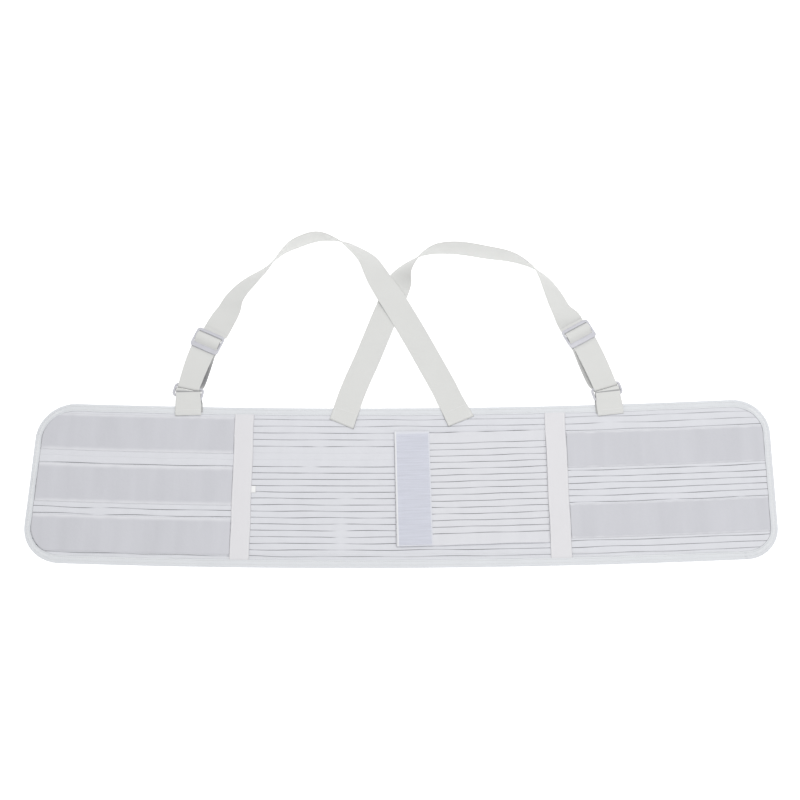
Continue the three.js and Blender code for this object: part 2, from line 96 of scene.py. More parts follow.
# Binding tape: its width on the long sides and on the left (-1) and right (1) ends.
# A section row is the part of the width in from the fold, the height, and how much shade is painted there.
BINDING_SIDE = 12.0
BINDING_ENDS = {-1: 9.4, 1: 10.5}
BINDING_SECTION = [
    (1.0, 2.3, 1.0), (0.975, 2.42, 1.0), (0.95, 2.56, 0.0), (0.9, 2.66, 0.0), (0.82, 2.64, 0.0),
    (0.78, 2.44, 0.35), (0.74, 2.64, 0.0), (0.64, 2.7, 0.0), (0.5, 2.7, 0.0), (0.4, 2.64, 0.0),
    (0.36, 2.44, 0.35), (0.32, 2.64, 0.0), (0.22, 2.62, 0.0), (0.12, 2.48, 0.0), (0.045, 2.1, 0.0),
    (0.0, 1.4, 0.0), (0.03, 0.7, 0.0), (0.09, 0.2, 0.0), (0.2, 0.0, 0.0), (0.6, 0.0, 0.0), (1.0, 0.0, 0.0),
    (1.0, 0.28, 0.0), (0.5, 0.3, 0.0), (0.15, 0.45, 0.0), (0.09, 1.4, 0.0), (0.15, 2.15, 0.0),
    (0.5, 2.26, 0.0),
]
# Painted shade: a shadow line along the inner edge, from this part of the width in, at this share on the long
# sides
BINDING_INNER_FROM = 0.9
BINDING_SIDE_DARK = 0.1
BINDING_OVER = 3.0
BINDING_ROWS = [0.78, 0.36]
BINDING_STITCH_Z = 2.56
BINDING_ZIGZAG = {"in": 0.74, "out": 0.34, "pitch": 2.4, "ends_from": 0.35}
BINDING_WOBBLE = {"rise": 0.35, "seed": 31, "length": 45.0}

# Tapes, pile bands, tension band and hook patch on the front, sunk into it a little or laid just over it
FRONT = 2.3
SUNK = 0.03
LAID = 0.02
GAP = 0.3
SEAM_TOP = 3.35
SEAM_TUCK = 2
SEAM_ROWS = 80
SEAM_COLUMNS = [1, 0.975, 0.95, 0.9, 0.86, 0.8, 0.6, 0.3]
SEAM_TAPES = [
    {"node": "left_seam_tape", "x": -228.0, "wide": 28.0, "panel": "left_end_panel"},
    {"node": "right_seam_tape", "x": 224.0, "wide": 30.0, "panel": "right_end_panel"},
]
# Edges of the seam tapes: least height share, rounding, and where and how dark a shadow line is painted along
# them
SEAM_EDGE = {"least": 0.35, "round": 1.0, "part": 0.03, "dark": 0.45}
SEAM_STITCH = {"in": 2.6, "reach": 1.1, "dip": 0.3, "below": 0.28, "ends": 1, "points": 60}
SEAM_WANDER = {"rise": 0.3, "seed": 55, "length": 60.0}
TAG = {"wide": 6.0, "tall": 10.0, "thick": 0.6, "y": -4.5, "tuck": 1.0, "crown": 0.25}
# Rows across the tag; past the last part a shadow line is painted along its free edge
TAG_LINES = {"count": 8, "to": 0.9, "edge": 0.04}
PILE_TOP = 3.85
PILE_SELVEDGE_TOP = 2.42
PILE_STEP = 1.6
PILE_NAP = {"rise": 0.09, "seed": 300}
PILE_FRAY = {"rise": 0.5, "seed": 200, "length": 25.0}
# Pile bands: ramps are the widths over which the pile thins out, at the low and at the high edge
PILE_BANDS = [
    {"node": "left_pile_band_1", "side": -1, "y": 77.0, "wide": 56.0, "ramps": (7.0, 6.0)},
    {"node": "left_pile_band_2", "side": -1, "y": 0.0, "wide": 58.0, "ramps": (7.0, 8.0)},
    {"node": "left_pile_band_3", "side": -1, "y": -75.2, "wide": 54.4, "ramps": (1.2, 7.0)},
    {"node": "right_pile_band_1", "side": 1, "y": 52.0, "wide": 54.4, "ramps": (3.0, 4.0)},
    {"node": "right_pile_band_2", "side": 1, "y": -54.8, "wide": 51.6, "ramps": (3.5, 3.0)},
]
# A crease across one band: its place along the belt, reach and depth
PILE_CREASE = {"node": "left_pile_band_1", "x": -441.0, "reach": 9.0, "deep": 1.1}
TENSION = {"tall": 169.6, "top": 4.2, "free_x": -9.2, "y": -0.8, "turn": 0.85}
TENSION_CURL = {"rise": 0.8, "reach": 9.0, "from_x": 46.0, "fade": 22.0}
# Long edges: how far they drop, rows of points near them, and the width of a shadow painted along the upper
# one
TENSION_EDGE = {"drop": 0.9, "round": 1.2, "rows": [0.2, 0.9, 1.4], "dark_in": 0.95}
# How dark the painted shadow along the upper edge is, wandering along the band
TENSION_EDGE_VARY = {"mean": 0.5, "rise": 0.5, "low": 0.15, "seed": 430, "length": 60.0}
# Free end: how wide the shadow painted along it is, and how dark
TENSION_END = {"wide": 1.4, "dark": 0.45}
HOOK = {"wide": 50.6, "tall": 172.4, "bottom": 4.3, "top": 5.15, "x": 17.0, "y": -2.7, "turn": 1.15}
HOOK_EDGE = {"drop": 0.35, "round": 1.0}
HOOK_LINES = {"across": 33, "along": 101}
HOOK_STITCH = {"in": 1.2, "below": 0.02, "points": 20}
# Smooth border of the hook tape: its width, how white it is, and over what width it fades
HOOK_BORDERS = {"left": (2.6, 1.0), "right": (0.9, 0.5), "low": (1.5, 0.4), "high": (4.2, 0.4)}
BORDER_FADE = 0.6
# Hooks: sections from the root to the tip, and how they are scattered across and along
HOOK_PITCH = 1.7
HOOK_MARGIN = 1.0
HOOK_TALL = 0.75
HOOK_THICK = 0.26
HOOK_SIDES = 3
HOOK_LEAN = [0.0, 0.0, 0.35, 0.62]
HOOK_RISE = [-0.1, 0.55, 1.0, 0.7]
HOOK_TAPER = [1.2, 1.0, 0.9, 0.6]
HOOK_SCATTER = {"seed": 500, "across": 0.2, "along": 0.06}

# Webbing straps: a row is the middle of the webbing in plan, its roll in degrees and its lowest height.
# slider_skew is how much further than the webbing below it the slider is turned.
# fold is how the webbing lies over the ring. tab_slack is how far the tab's loop reaches past the ring's
# lower bar, and crease is how far along the tab it starts to turn and a shadow line is painted across it.
# entry, near and far are how far the layers under the front one stand out to the inner side: above the
# slider, below it and by the ring. under is their painted shade. drawn gives shares of its width that the
# front layer keeps: below the slider and half way. foot is the sewn end's turn and the share it flares to.
WEBBING_WIDE = 37.6
WEBBING_THICK = 1.2
HALF_WIDE = WEBBING_WIDE / 2
HALF_THICK = WEBBING_THICK / 2
STRAPS = [
    {
        "side": "left", "inner": 1, "foot": (2.0, 1.07),
        "slider": (-282.0, 224.0), "slider_skew": -6.5,
        "ring": (-308.2, 145.3), "ring_turn": -15.0,
        "fold": {"turn": -13.5, "aside": -1.4, "share": 0.84},
        "tab": (-307.5, 110.0), "tab_turn": 1.0, "tab_slack": 8.3, "crease": 35.5,
        "entry": 4.0, "near": 1.2, "far": 1.2, "under": 1.0, "drawn": (0.975, 0.925),
        "rows": [
            (86.7, 98.5, 0, 2.3), (81.5, 109.5, 0, 2.75), (69.8, 134, 0, 2.8), (62.9, 150, 0, 1.2),
            (55, 166, 0, 0), (40, 195, 0, 0), (15.2, 242, 0, 1.0), (-11.6, 289, 0, 2.2), (-31, 319, 14, 4.4),
            (-47.5, 348, 38, 1), (-63.5, 362.5, 51, 0), (-87, 377, 67, 0), (-121, 384, 92, 0),
            (-152, 374.5, 93.5, 0), (-170, 363.5, 84, 0), (-187.5, 345, 73, 0), (-201, 331, 60, 0),
            (-219.5, 315.8, 45, 0), (-234.8, 301, 38, 0), (-245.8, 285.5, 32, 1.0), (-251.7, 270.5, 16, 3.5),
            (-260, 256.6, 7, 5.5),
        ],
    },
    {
        "side": "right", "inner": -1, "foot": (-6.5, 1.0),
        "slider": (260.6, 232.0), "slider_skew": 5.5,
        "ring": (298.5, 143.6), "ring_turn": 17.5,
        "fold": {"turn": 17.5, "aside": 0.1, "share": 0.91},
        "tab": (303.0, 107.5), "tab_turn": 6.0, "tab_slack": 8.5, "crease": 35.0,
        "entry": 1.5, "near": 1.6, "far": 3.2, "under": 0.4, "drawn": (0.97, 0.955),
        "rows": [
            (-86, 95.5, 0, 2.3), (-81.7, 109, 0, 2.75), (-74, 133, 0, 2.8), (-68.5, 149, 0, 1.2),
            (-62.3, 165, 0, 0), (-49.5, 195, 0, 0), (-37, 227, 0, 0), (-21.5, 267, 0, 0), (-7.3, 301, 0, 0),
            (-2, 315, 3, 0), (4, 329, 45, 0), (19.5, 346, 66, 0), (34.5, 356.5, 78, 0), (54, 363.2, 91, 0),
            (86, 364.2, 97.5, 0), (127, 357.2, 97.5, 0), (168, 348.2, 90, 0), (200, 330, 70, 0),
            (212.5, 315, 56, 0), (221.5, 299, 44, 0), (228.5, 284, 36, 0.5), (235.0, 269.5, 32, 1.5),
            (243.5, 256.5, 26, 2.0),
        ],
    },
]
STRAP_STEPS = 12
STRAP_STEP = 3.0
# Half of the webbing's upper face, from the selvedge in: part of the half width, share of the half thickness
WEBBING_FACE = [(1.0, 0.45), (0.985, 0.85), (0.95, 1.08), (0.88, 1.0), (0.7, 0.97), (0.5, 1.0), (0.25, 0.97)]
FOOT_BOX = {"low": (3.0, -15.5), "high": (21.0, 15.5)}
FOOT_REACH = 35.0
# Painted shadow lines along the webbing's edges: how dark at the sewn foot's inner and outer edge, and the
# part they start from
FOOT_EDGES = {"inner": 0.8, "outer": 0.3}
EDGE_PART = 0.97
ENTRY_REACH = 30.0

# Moulded slider and ring, and how the webbing runs round their bars
SLIDER = {"wide": 44.0, "tall": 30.5, "thick": 2.3, "bar": 4.6, "lower": 7.3, "middle": 3.6, "end": 3.1}
SLIDER_EDGE = {"corner": 4.5, "round": 0.9, "z": 6.0}
RING = {"wide": 44.6, "tall": 20.6, "thick": 3.5, "bar": 4.0, "end": 3.5}
RING_EDGE = {"corner": 5.0, "round": 1.3, "z": 3.6}
WINDOW_CORNER = 1.4
MOULD = {"corner_points": 7, "edge_steps": 4, "weld": 1e-4, "sharp": 40}
BAR_PLAY = 1.2
BAR_CLEAR = 0.5
WINDOW_SHARE = 0.985
FOLD_RETURN = 0.96
# Painted shade at the outer edge of the fold round the ring: its most, and how sharply it falls off
FOLD_DARK = {"most": 0.6, "sharp": 6}
# Painted shadow along the inner edge of the loop in the slider's windows
LOOP_EDGE_DARK = 0.85
SLIDER_RAMPS = (0.6, 1.25)
LAYER_ROUNDS = 2
LAYER_STEP = 0.9
LAYER_CLIMB = {"run": 4.0, "rise": 2.2}
LAYER_BULGE = {"part": 0.6, "rise": 1.0}
# Share of the under layers' painted shade kept where they return below the slider
UNDER_FADE = 0.6
END_BEFORE_BAR = 1
END_PAST_TOP = 20.0
WRAP_STEPS = 12
BINDING_HEIGHT = 2.5
TAB_LEVEL_PAST = 1.0
TAB_RISE_PAST = 7.0
TAB_BACK_SHIFT = 2.2
# Painted shade on the tab's back layer
TAB_BACK_DARK = 0.6
TAB_DRAWN = 0.945
TAB_END = 4.5
TAB_END_DROP = 0.4
# Half width of the shadow line painted across the tab's front at the crease
TAB_CREASE_SHADE_REACH = 1.3
TAB_STITCH = {"rows": [3.0, 8.0], "in": 1.5}

# Stitches: parts of their length with the share of the thread's radius and the rise there
THREAD_RADIUS = 0.24
THREAD_SIDES = 6
THREAD_SECTIONS = [(0.0, 0.4, -0.12), (0.25, 1.0, 0.1), (0.75, 1.0, 0.1), (1.0, 0.4, -0.12)]
STITCH_PITCH = 3.0
STITCH_SHARE = 0.78
WEBBING_STITCH = {"over": 0.03, "points": 12}

# Tones of the materials, and tones that shade values mix in: painted shade, or a lighter selvedge and border
ELASTIC_TONE = (0.75, 0.758, 0.797)
BAND_TONE = (0.757, 0.762, 0.797)
# Painted shade in the knit's grooves, and along the tension band's upper edge and free end
KNIT_SHADE_TONE = (0.07, 0.07, 0.085)
BINDING_TONE = (0.795, 0.815, 0.843)
SEAM_TONE = (0.78, 0.773, 0.797)
TAG_TONE = (0.9, 0.9, 0.9)
# Painted shade at the edges of binding, seam tapes and tag, and in the binding's stitch channels
EDGE_SHADE_TONE = (0.3, 0.3, 0.32)
PILE_TONE = (0.613, 0.617, 0.656)
SELVEDGE_TONE = (0.75, 0.755, 0.79)
HOOK_TONE = (0.67, 0.685, 0.761)
HOOK_BORDER_TONE = (0.82, 0.83, 0.86)
WEBBING_TONE = (0.723, 0.727, 0.712)
# Painted shade on webbing: on layers under others, at folds and along some edges
WEBBING_SHADE_TONE = (0.3, 0.3, 0.31)
THREAD_TONE = (0.88, 0.885, 0.89)
SLIDER_TONE = (0.575, 0.578, 0.622)
RING_TONE = (0.56, 0.56, 0.6)

# Threads by direction and period, and sizes of the blotches
ELASTIC_THREADS = [("X", 0.9), ("Y", 1.6)]
TAPE_THREADS = [("X", 0.8), ("Y", 0.8)]
WEBBING_THREADS = [("X", 1.5), ("DIAGONAL", 1.1)]
HOOK_THREADS = [("Y", 1.7)]
WAVE_PERIOD = 2 * math.pi / 20
BLOTCH = (60.0, 60.0)
KNIT_STREAKS = (18.0, 60.0)
PILE_STREAKS = (22.0, 160.0)
HOOK_STREAKS = (45.0, 2.3)

# Noise values where a tone is darkest and lightest
RAMP_ENDS = (0.3, 0.7)
# Shares of specks and blotches in the tone and of specks in the bump, and how cloth and plastic shine
CLOTH = {"speck": 0.55, "patch": 0.45, "bump": 0.5, "specular": 0.2, "sheen_rough": 0.5}
DETAIL = {"speck": 3, "patch": 2, "flow": 3, "grain": 2}
PLASTIC = {"flow": 9, "grain": 0.5, "bump": 0.05, "strength": 0.3, "rough": 0.28, "rough_swing": 0.2}
PLASTIC_DEPTH = {"weight": 0.15, "radius": (0.002, 0.002, 0.0022)}
# Sockets of a mix node for colours, by number
MIX_IN = {"share": 0, "first": 6, "second": 7}
MIX_OUT = 2

# Floor and light, in metres and watts
FLOOR_HALF = 40.0
FLOOR_DROP = 0.0004
FLOOR_TONE = (0.85, 0.85, 0.85, 1)
FLOOR_ROUGH = 0.9
FLOOR_GLOW = 0.6
WHITE = (1, 1, 1, 1)
SKY = 0.715
KEY = {"place": (0.35, 0.35, 2.1), "size": 1.05, "power": 15.8}

# Camera: its place in metres, its tilt from straight down and its roll in degrees, and its lens
CAMERA_PLACE = (-0.0014, -1.0073, 3.1334)
CAMERA_TILT = 20.0
CAMERA_ROLL = -0.32
CAMERA_LENS = 103.5
CAMERA_SENSOR = 36.0


# Shapes

def ripple(x, seed, length):
    """Smooth wandering, mostly between -1 and 1, with features about as long as length."""
    rng = np.random.default_rng(seed)
    total = np.zeros(np.shape(x))
    for _ in range(RIPPLE["waves"]):
        wave = length * rng.uniform(*RIPPLE["spread"])
        total = total + np.sin(2 * math.pi * (np.asarray(x) / wave + rng.uniform()))
    return total / RIPPLE["waves"] ** 0.5 / RIPPLE["scale"]


def wander(x, line, number=0):
    """A wandering line at places along it. Lines of other numbers wander otherwise."""
    return line["rise"] * ripple(x, line["seed"] + number, line["length"])


def eased(value):
    """Rises smoothly from 0 to 1 while the value does."""
    part = np.clip(value, 0, 1)
    return part * part * (3 - 2 * part)


def rounded_edge(away, reach):
    """Rises as a quarter circle from 0 at an edge to 1 at some reach from it."""
    return np.sqrt(np.clip(1 - (1 - np.clip(away / reach, 0, 1)) ** 2, 0, 1))


def edge_drop(away, edge):
    """How far a rounded edge lies below the top."""
    return edge["drop"] * (1 - rounded_edge(away, edge["round"]))


def hump(x, middle, reach):
    """Rises to 1 in the middle and falls off within some reach."""
    return np.exp(-((x - middle) / reach) ** 2)


def unit(vectors):
    return vectors / np.linalg.norm(vectors, axis=-1, keepdims=True)


def left_of(along):
    """Directions in plan to the left of others."""
    return np.stack([-along[..., 1], along[..., 0]], -1)


def heading(turn):
    """Direction in plan at a turn in degrees anticlockwise from +Y."""
    return np.array([-math.sin(math.radians(turn)), math.cos(math.radians(turn))])


def turned(u, v, turn):
    """Places turned anticlockwise by some degrees."""
    c = math.cos(math.radians(turn))
    s = math.sin(math.radians(turn))
    return u * c - v * s, u * s + v * c


def lie(x, y):
    """How high the cloth lies off the floor at a place."""
    wave = wander(x + LIE_LONG["skew"] * y, LIE_LONG) + wander(y + LIE_CROSS["skew"] * x, LIE_CROSS)
    return LIE_RISE / 2 * (1 + np.clip(wave, -1, 1))


def bent(x, y):
    """The bow turns each cross-section of the belt with its slope."""
    slope = 2 * BOW * x / HALF_LENGTH ** 2
    return x - y * slope, y + BOW * (x / HALF_LENGTH) ** 2


def on_belt(x, y, z):
    """Points on the bent belt."""
    x, y = bent(np.asarray(x, float), np.asarray(y, float))
    return np.stack([x, y, np.broadcast_to(z, x.shape)], -1)


def end_x(y, side, inset_end, inset_side):
    """Where a line at y meets the belt's left (-1) or right (1) end, inset, before bending."""
    radii = {level: radius for end, level, radius in CORNERS if end == side}
    radius = np.where(y > 0, radii[1], radii[-1]) - (inset_end + inset_side) / 2
    rise = np.clip((np.abs(y) - (HALF_HEIGHT - inset_side - radius)) / radius, 0, 1)
    half = HALF_LENGTH + END_EXTRA[side]
    return side * (half - inset_end - radius + radius * np.sqrt(1 - rise ** 2)) + END_LEAN * y


def lengths_along(path):
    """Length along a path at each of its points."""
    return np.r_[0, np.cumsum(np.linalg.norm(np.diff(path, axis=0), axis=1))]


def sampled(path, at, places):
    """Points of a path, whose lengths are at, at other lengths along it."""
    return np.stack([np.interp(places, at, path[:, k]) for k in range(path.shape[1])], -1)


def resampled(path, step, closed=False):
    """Points about one step apart along a path."""
    if closed:
        path = np.vstack([path, path[:1]])
    at = lengths_along(path)
    count = max(int(round(at[-1] / step)), 1)
    places = np.linspace(0, at[-1], count + 1)
    return sampled(path, at, places[:-1] if closed else places)


def belt_edge(step):
    """Points along the belt's edge, anticlockwise, and the directions inwards."""
    points = []
    for number, (side, level, radius) in enumerate(CORNERS):
        angle = np.radians(90 * (number - 1) + np.linspace(0, 90, CORNER_POINTS))
        x = side * (HALF_LENGTH + END_EXTRA[side] - radius) + radius * np.cos(angle)
        y = level * (HALF_HEIGHT - radius) + radius * np.sin(angle)
        points.append(np.stack([x, y], -1))
    flat = resampled(np.vstack(points), step, closed=True)
    edge = np.stack(bent(flat[:, 0] + END_LEAN * flat[:, 1], flat[:, 1]), -1)
    return edge, left_of(unit(np.roll(edge, -1, 0) - np.roll(edge, 1, 0)))


def grid(across, rows):
    """Places over a rectangle, with a row of the array for each row of places."""
    return np.repeat(across[None], len(rows), 0), np.repeat(rows[:, None], len(across), 1)


def grid_quads(index):
    """Quads over a grid of vertex numbers, facing up where columns run right and rows run up."""
    quads = np.stack([index[:-1, :-1], index[:-1, 1:], index[1:, 1:], index[1:, :-1]], -1)
    return quads.reshape(-1, 4)


def ring_quads(index):
    """Quads over a grid of vertex numbers whose rows are rings."""
    return grid_quads(np.hstack([index, index[:, :1]]))


def slab(x, y, top, bottom):
    """Closed solid between two heights over a grid of places."""
    rows, cols = x.shape
    upper = np.stack([x, y, np.broadcast_to(top, x.shape)], -1).reshape(-1, 3)
    lower = np.stack([x, y, np.broadcast_to(bottom, x.shape)], -1).reshape(-1, 3)
    index = np.arange(rows * cols).reshape(rows, cols)
    rim = np.concatenate([index[0, :-1], index[:-1, -1], index[-1, :0:-1], index[:0:-1, 0]])
    ahead = np.roll(rim, -1)
    under = rows * cols
    walls = np.stack([rim + under, ahead + under, ahead, rim], -1)
    quads = np.vstack([grid_quads(index), grid_quads(index)[:, ::-1] + under, walls])
    return np.vstack([upper, lower]), quads.tolist()


def add_object(name, data):
    made = bpy.data.objects.new(name, data)
    bpy.context.scene.collection.objects.link(made)
    return made


def add_mesh(name, points, faces, material, node=None, uv=None, shade=None, sharp=None):
    """Makes a piece from points in millimetres. shade is a value at each point that its material reads."""
    points = np.array(points, float)
    points[:, 2] += lie(points[:, 0], points[:, 1])
    mesh = bpy.data.meshes.new(name)
    mesh.from_pydata((points * MM).tolist(), [], faces)
    mesh.polygons.foreach_set("use_smooth", [True] * len(mesh.polygons))
    if uv is not None:
        corner = np.empty(len(mesh.loops), np.int32)
        mesh.loops.foreach_get("vertex_index", corner)
        layer = mesh.uv_layers.new(name="UVMap")
        layer.data.foreach_set("uv", np.asarray(uv, np.float32)[corner].ravel())
    if shade is not None:
        values = mesh.attributes.new("shade", "FLOAT", "POINT")
        values.data.foreach_set("value", np.asarray(shade, np.float32))
    if sharp is not None:
        mesh.set_sharp_from_angle(angle=math.radians(sharp))
    mesh.materials.append(material)
    piece = add_object(name, mesh)
    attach(piece, "root")
    if node:
        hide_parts(node)
    return piece


def add_slab(name, points, faces, material, node, u, v, upper, lower):
    """A slab's piece, with its cloth coordinates and the shades of its upper and lower points."""
    uv = np.tile(np.stack([u, v], -1).reshape(-1, 2), (2, 1))
    shade = np.concatenate([upper.ravel(), lower.ravel()])
    return add_mesh(name, points, faces, material, node, uv, shade)


def add_layer(node, ending, x, y, top, bottom, material, upper, lower):
    """A slab over a grid of places on the belt, named after its node."""
    points, faces = slab(*bent(x, y), top, bottom)
    return add_slab(node + ending, points, faces, material, node, x, y, upper, lower)


def add_rings(name, rings, closed, material, node, uv, shade):
    """A piece over rings of points, closed on itself or capped at both ends."""
    count, around = rings.shape[:2]
    index = np.arange(count * around).reshape(count, around)
    faces = ring_quads(np.vstack([index, index[:1]]) if closed else index).tolist()
    if not closed:
        faces += [index[0, ::-1].tolist(), index[-1].tolist()]
    points = rings.reshape(-1, 3)
    return add_mesh(name, points, faces, material, node, uv.reshape(-1, 2), shade.ravel())


# Materials

def plug(tree, socket, value):
    """Links another node's socket to a socket, or sets its value."""
    if isinstance(value, bpy.types.NodeSocket):
        tree.links.new(value, socket)
    else:
        socket.default_value = value


def feed(tree, node, **inputs):
    """Plugs a node's inputs, each by its name."""
    for key, value in inputs.items():
        plug(tree, node.inputs[key.replace("_", " ")], value)


def add_node(tree, kind, settings=None, **inputs):
    """Makes a shader node; an input is a socket of another node or a value."""
    made = tree.nodes.new(kind)
    for key, value in (settings or {}).items():
        setattr(made, key, value)
    feed(tree, made, **inputs)
    return made


def new_material(name):
    """A material with an empty tree that ends in a principled shader."""
    material = bpy.data.materials.new(name)
    material.use_nodes = True
    tree = material.node_tree
    tree.nodes.clear()
    shader = add_node(tree, "ShaderNodeBsdfPrincipled")
    add_node(tree, "ShaderNodeOutputMaterial", Surface=shader.outputs["BSDF"])
    return material, tree, shader


def wave_height(tree, place, direction, period):
    """Parallel threads with the given period in millimetres."""
    settings = {"wave_type": "BANDS", "bands_direction": direction}
    wave = add_node(tree, "ShaderNodeTexWave", settings, Vector=place, Scale=WAVE_PERIOD / period)
    return wave.outputs["Fac"]


def noise_value(tree, place, size, detail):
    """Noise with features of about the given size in each direction."""
    scaled = add_node(tree, "ShaderNodeMapping", Vector=place, Scale=[1 / length for length in size])
    place = scaled.outputs["Vector"]
    return add_node(tree, "ShaderNodeTexNoise", Vector=place, Scale=1.0, Detail=detail).outputs["Fac"]


def combined(tree, operation, first, second):
    """One value worked out from two, each a socket or a number."""
    made = add_node(tree, "ShaderNodeMath", {"operation": operation})
    plug(tree, made.inputs[0], first)
    plug(tree, made.inputs[1], second)
    return made.outputs[0]


def colour_ramp(tree, value, tone, spread):
    """A tone, darker and lighter by spread with a noise value."""
    ramp = add_node(tree, "ShaderNodeValToRGB", Fac=value)
    for element, position, share in zip(ramp.color_ramp.elements, RAMP_ENDS, (1 - spread, 1 + spread)):
        element.position = position
        element.color = (*(channel * share for channel in tone), 1)
    return ramp.outputs["Color"]


def shaded(tree, colour, tone):
    """The colour, changed to another tone where the mesh's shade value is 1."""
    value = add_node(tree, "ShaderNodeAttribute", {"attribute_name": "shade"})
    mix = add_node(tree, "ShaderNodeMix", {"data_type": "RGBA"})
    plug(tree, mix.inputs[MIX_IN["share"]], value.outputs["Fac"])
    plug(tree, mix.inputs[MIX_IN["first"]], colour)
    plug(tree, mix.inputs[MIX_IN["second"]], (*tone, 1))
    return mix.outputs[MIX_OUT]


def bumped(tree, height, strength, distance):
    """Normals that are bumped by a height."""
    return add_node(
        tree, "ShaderNodeBump", Height=height, Strength=strength, Distance=distance * MM,
    ).outputs["Normal"]


def cloth(name, tone, spread, grain, threads, bump, shade=None, rough=0.85, sheen=0.25, blotch=BLOTCH):
    """Cloth of one tone, a little lighter and darker by spread, with specks of a grain's size and blotches.

    threads are rows of (direction, period), bump is their height, and shade the tone of shaded places."""
    material, tree, shader = new_material(name)
    place = add_node(tree, "ShaderNodeUVMap", {"uv_map": "UVMap"}).outputs["UV"]
    speck = noise_value(tree, place, (grain, grain, 1.0), DETAIL["speck"])
    patch = noise_value(tree, place, (*blotch, 1.0), DETAIL["patch"])
    fine = combined(tree, "MULTIPLY", speck, CLOTH["speck"])
    mottle = combined(tree, "ADD", fine, combined(tree, "MULTIPLY", patch, CLOTH["patch"]))
    colour = colour_ramp(tree, mottle, tone, spread)
    if shade:
        colour = shaded(tree, colour, shade)
    height = combined(tree, "MULTIPLY", speck, CLOTH["bump"])
    for direction, period in threads:
        height = combined(tree, "ADD", height, wave_height(tree, place, direction, period))
    feed(tree, shader, Base_Color=colour, Normal=bumped(tree, height, 1.0, bump), Roughness=rough)
    feed(tree, shader, Specular_IOR_Level=CLOTH["specular"])
    feed(tree, shader, Sheen_Weight=sheen, Sheen_Roughness=CLOTH["sheen_rough"])
    return material


def moulded_plastic(name, tone, spread):
    """Slightly glossy plastic with faint flow marks and a fine moulded grain."""
    material, tree, shader = new_material(name)
    place = add_node(tree, "ShaderNodeTexCoord").outputs["Object"]
    flow = noise_value(tree, place, [PLASTIC["flow"] * MM] * 3, DETAIL["flow"])
    grain = noise_value(tree, place, [PLASTIC["grain"] * MM] * 3, DETAIL["grain"])
    rough = combined(tree, "ADD", combined(tree, "MULTIPLY", flow, PLASTIC["rough_swing"]), PLASTIC["rough"])
    normal = bumped(tree, grain, PLASTIC["strength"], PLASTIC["bump"])
    feed(tree, shader, Base_Color=colour_ramp(tree, flow, tone, spread), Roughness=rough, Normal=normal)
    feed(tree, shader, Subsurface_Weight=PLASTIC_DEPTH["weight"], Subsurface_Radius=PLASTIC_DEPTH["radius"])
    return material


KNIT = {"spread": 0.03, "grain": 0.9, "threads": ELASTIC_THREADS, "bump": 0.12, "blotch": KNIT_STREAKS}
TAPE = {"threads": TAPE_THREADS, "shade": EDGE_SHADE_TONE}
PILE = {"spread": 0.06, "grain": 0.7, "threads": [], "bump": 0.5, "rough": 0.95, "sheen": 0.4}
HOOKS = {"spread": 0.12, "grain": 1.1, "threads": HOOK_THREADS, "bump": 0.15, "rough": 0.6, "sheen": 0.1}
WOVEN = {"spread": 0.025, "grain": 0.7, "threads": WEBBING_THREADS, "bump": 0.14}
# The knit elastic takes painted shade in its grooves
elastic = cloth("elastic", ELASTIC_TONE, shade=KNIT_SHADE_TONE, **KNIT)
band_elastic = cloth("band_elastic", BAND_TONE, shade=KNIT_SHADE_TONE, **KNIT)
binding_cloth = cloth("binding", BINDING_TONE, spread=0.04, grain=0.8, bump=0.12, **TAPE)
seam_cloth = cloth("seam_tape", SEAM_TONE, spread=0.02, grain=0.8, bump=0.08, **TAPE)
tag_cloth = cloth("tag", TAG_TONE, spread=0.02, grain=0.6, bump=0.05, **TAPE)
pile_cloth = cloth("pile", PILE_TONE, shade=SELVEDGE_TONE, blotch=PILE_STREAKS, **PILE)
hook_cloth = cloth("hook", HOOK_TONE, shade=HOOK_BORDER_TONE, blotch=HOOK_STREAKS, **HOOKS)
# Webbing takes painted shade on under layers, folds and edges
webbing = cloth("webbing", WEBBING_TONE, shade=WEBBING_SHADE_TONE, **WOVEN)
thread = cloth("thread", THREAD_TONE, spread=0.02, grain=0.4, threads=[], bump=0.03)
slider_plastic = moulded_plastic("slider_plastic", SLIDER_TONE, spread=0.03)
ring_plastic = moulded_plastic("ring_plastic", RING_TONE, spread=0.04)


# Small threads

def tube_rings(paths, aside, radii, sides):
    """Rings of points round many short threads: paths is threads by sections by 3."""
    aside = np.broadcast_to(aside[:, None, :], paths.shape)
    normal = np.cross(unit(np.gradient(paths, axis=1)), aside)
    angle = 2 * math.pi * np.arange(sides) / sides
    out = aside[:, :, None] * np.cos(angle)[:, None] + normal[:, :, None] * np.sin(angle)[:, None]
    return paths[:, :, None] + out * np.asarray(radii)[None, :, None, None]


def tube_mesh(rings):
    """One mesh of many closed threads."""
    count, sections, sides, _ = rings.shape
    ring = np.arange(sections * sides).reshape(sections, sides)
    starts = (np.arange(count) * sections * sides)[:, None, None]
    quads = (ring_quads(ring)[None] + starts).reshape(-1, 4).tolist()
    caps = np.stack([ring[0, ::-1], ring[-1]])
    return rings.reshape(-1, 3), quads + (caps[None] + starts).reshape(-1, sides).tolist()


def stitched(path):
    """Starts and ends of stitches along a path of points in space."""
    at = lengths_along(path)
    count = max(int(at[-1] / STITCH_PITCH), 1)
    pitch = at[-1] / count
    start = np.arange(count) * pitch
    return sampled(path, at, start), sampled(path, at, start + STITCH_SHARE * pitch)


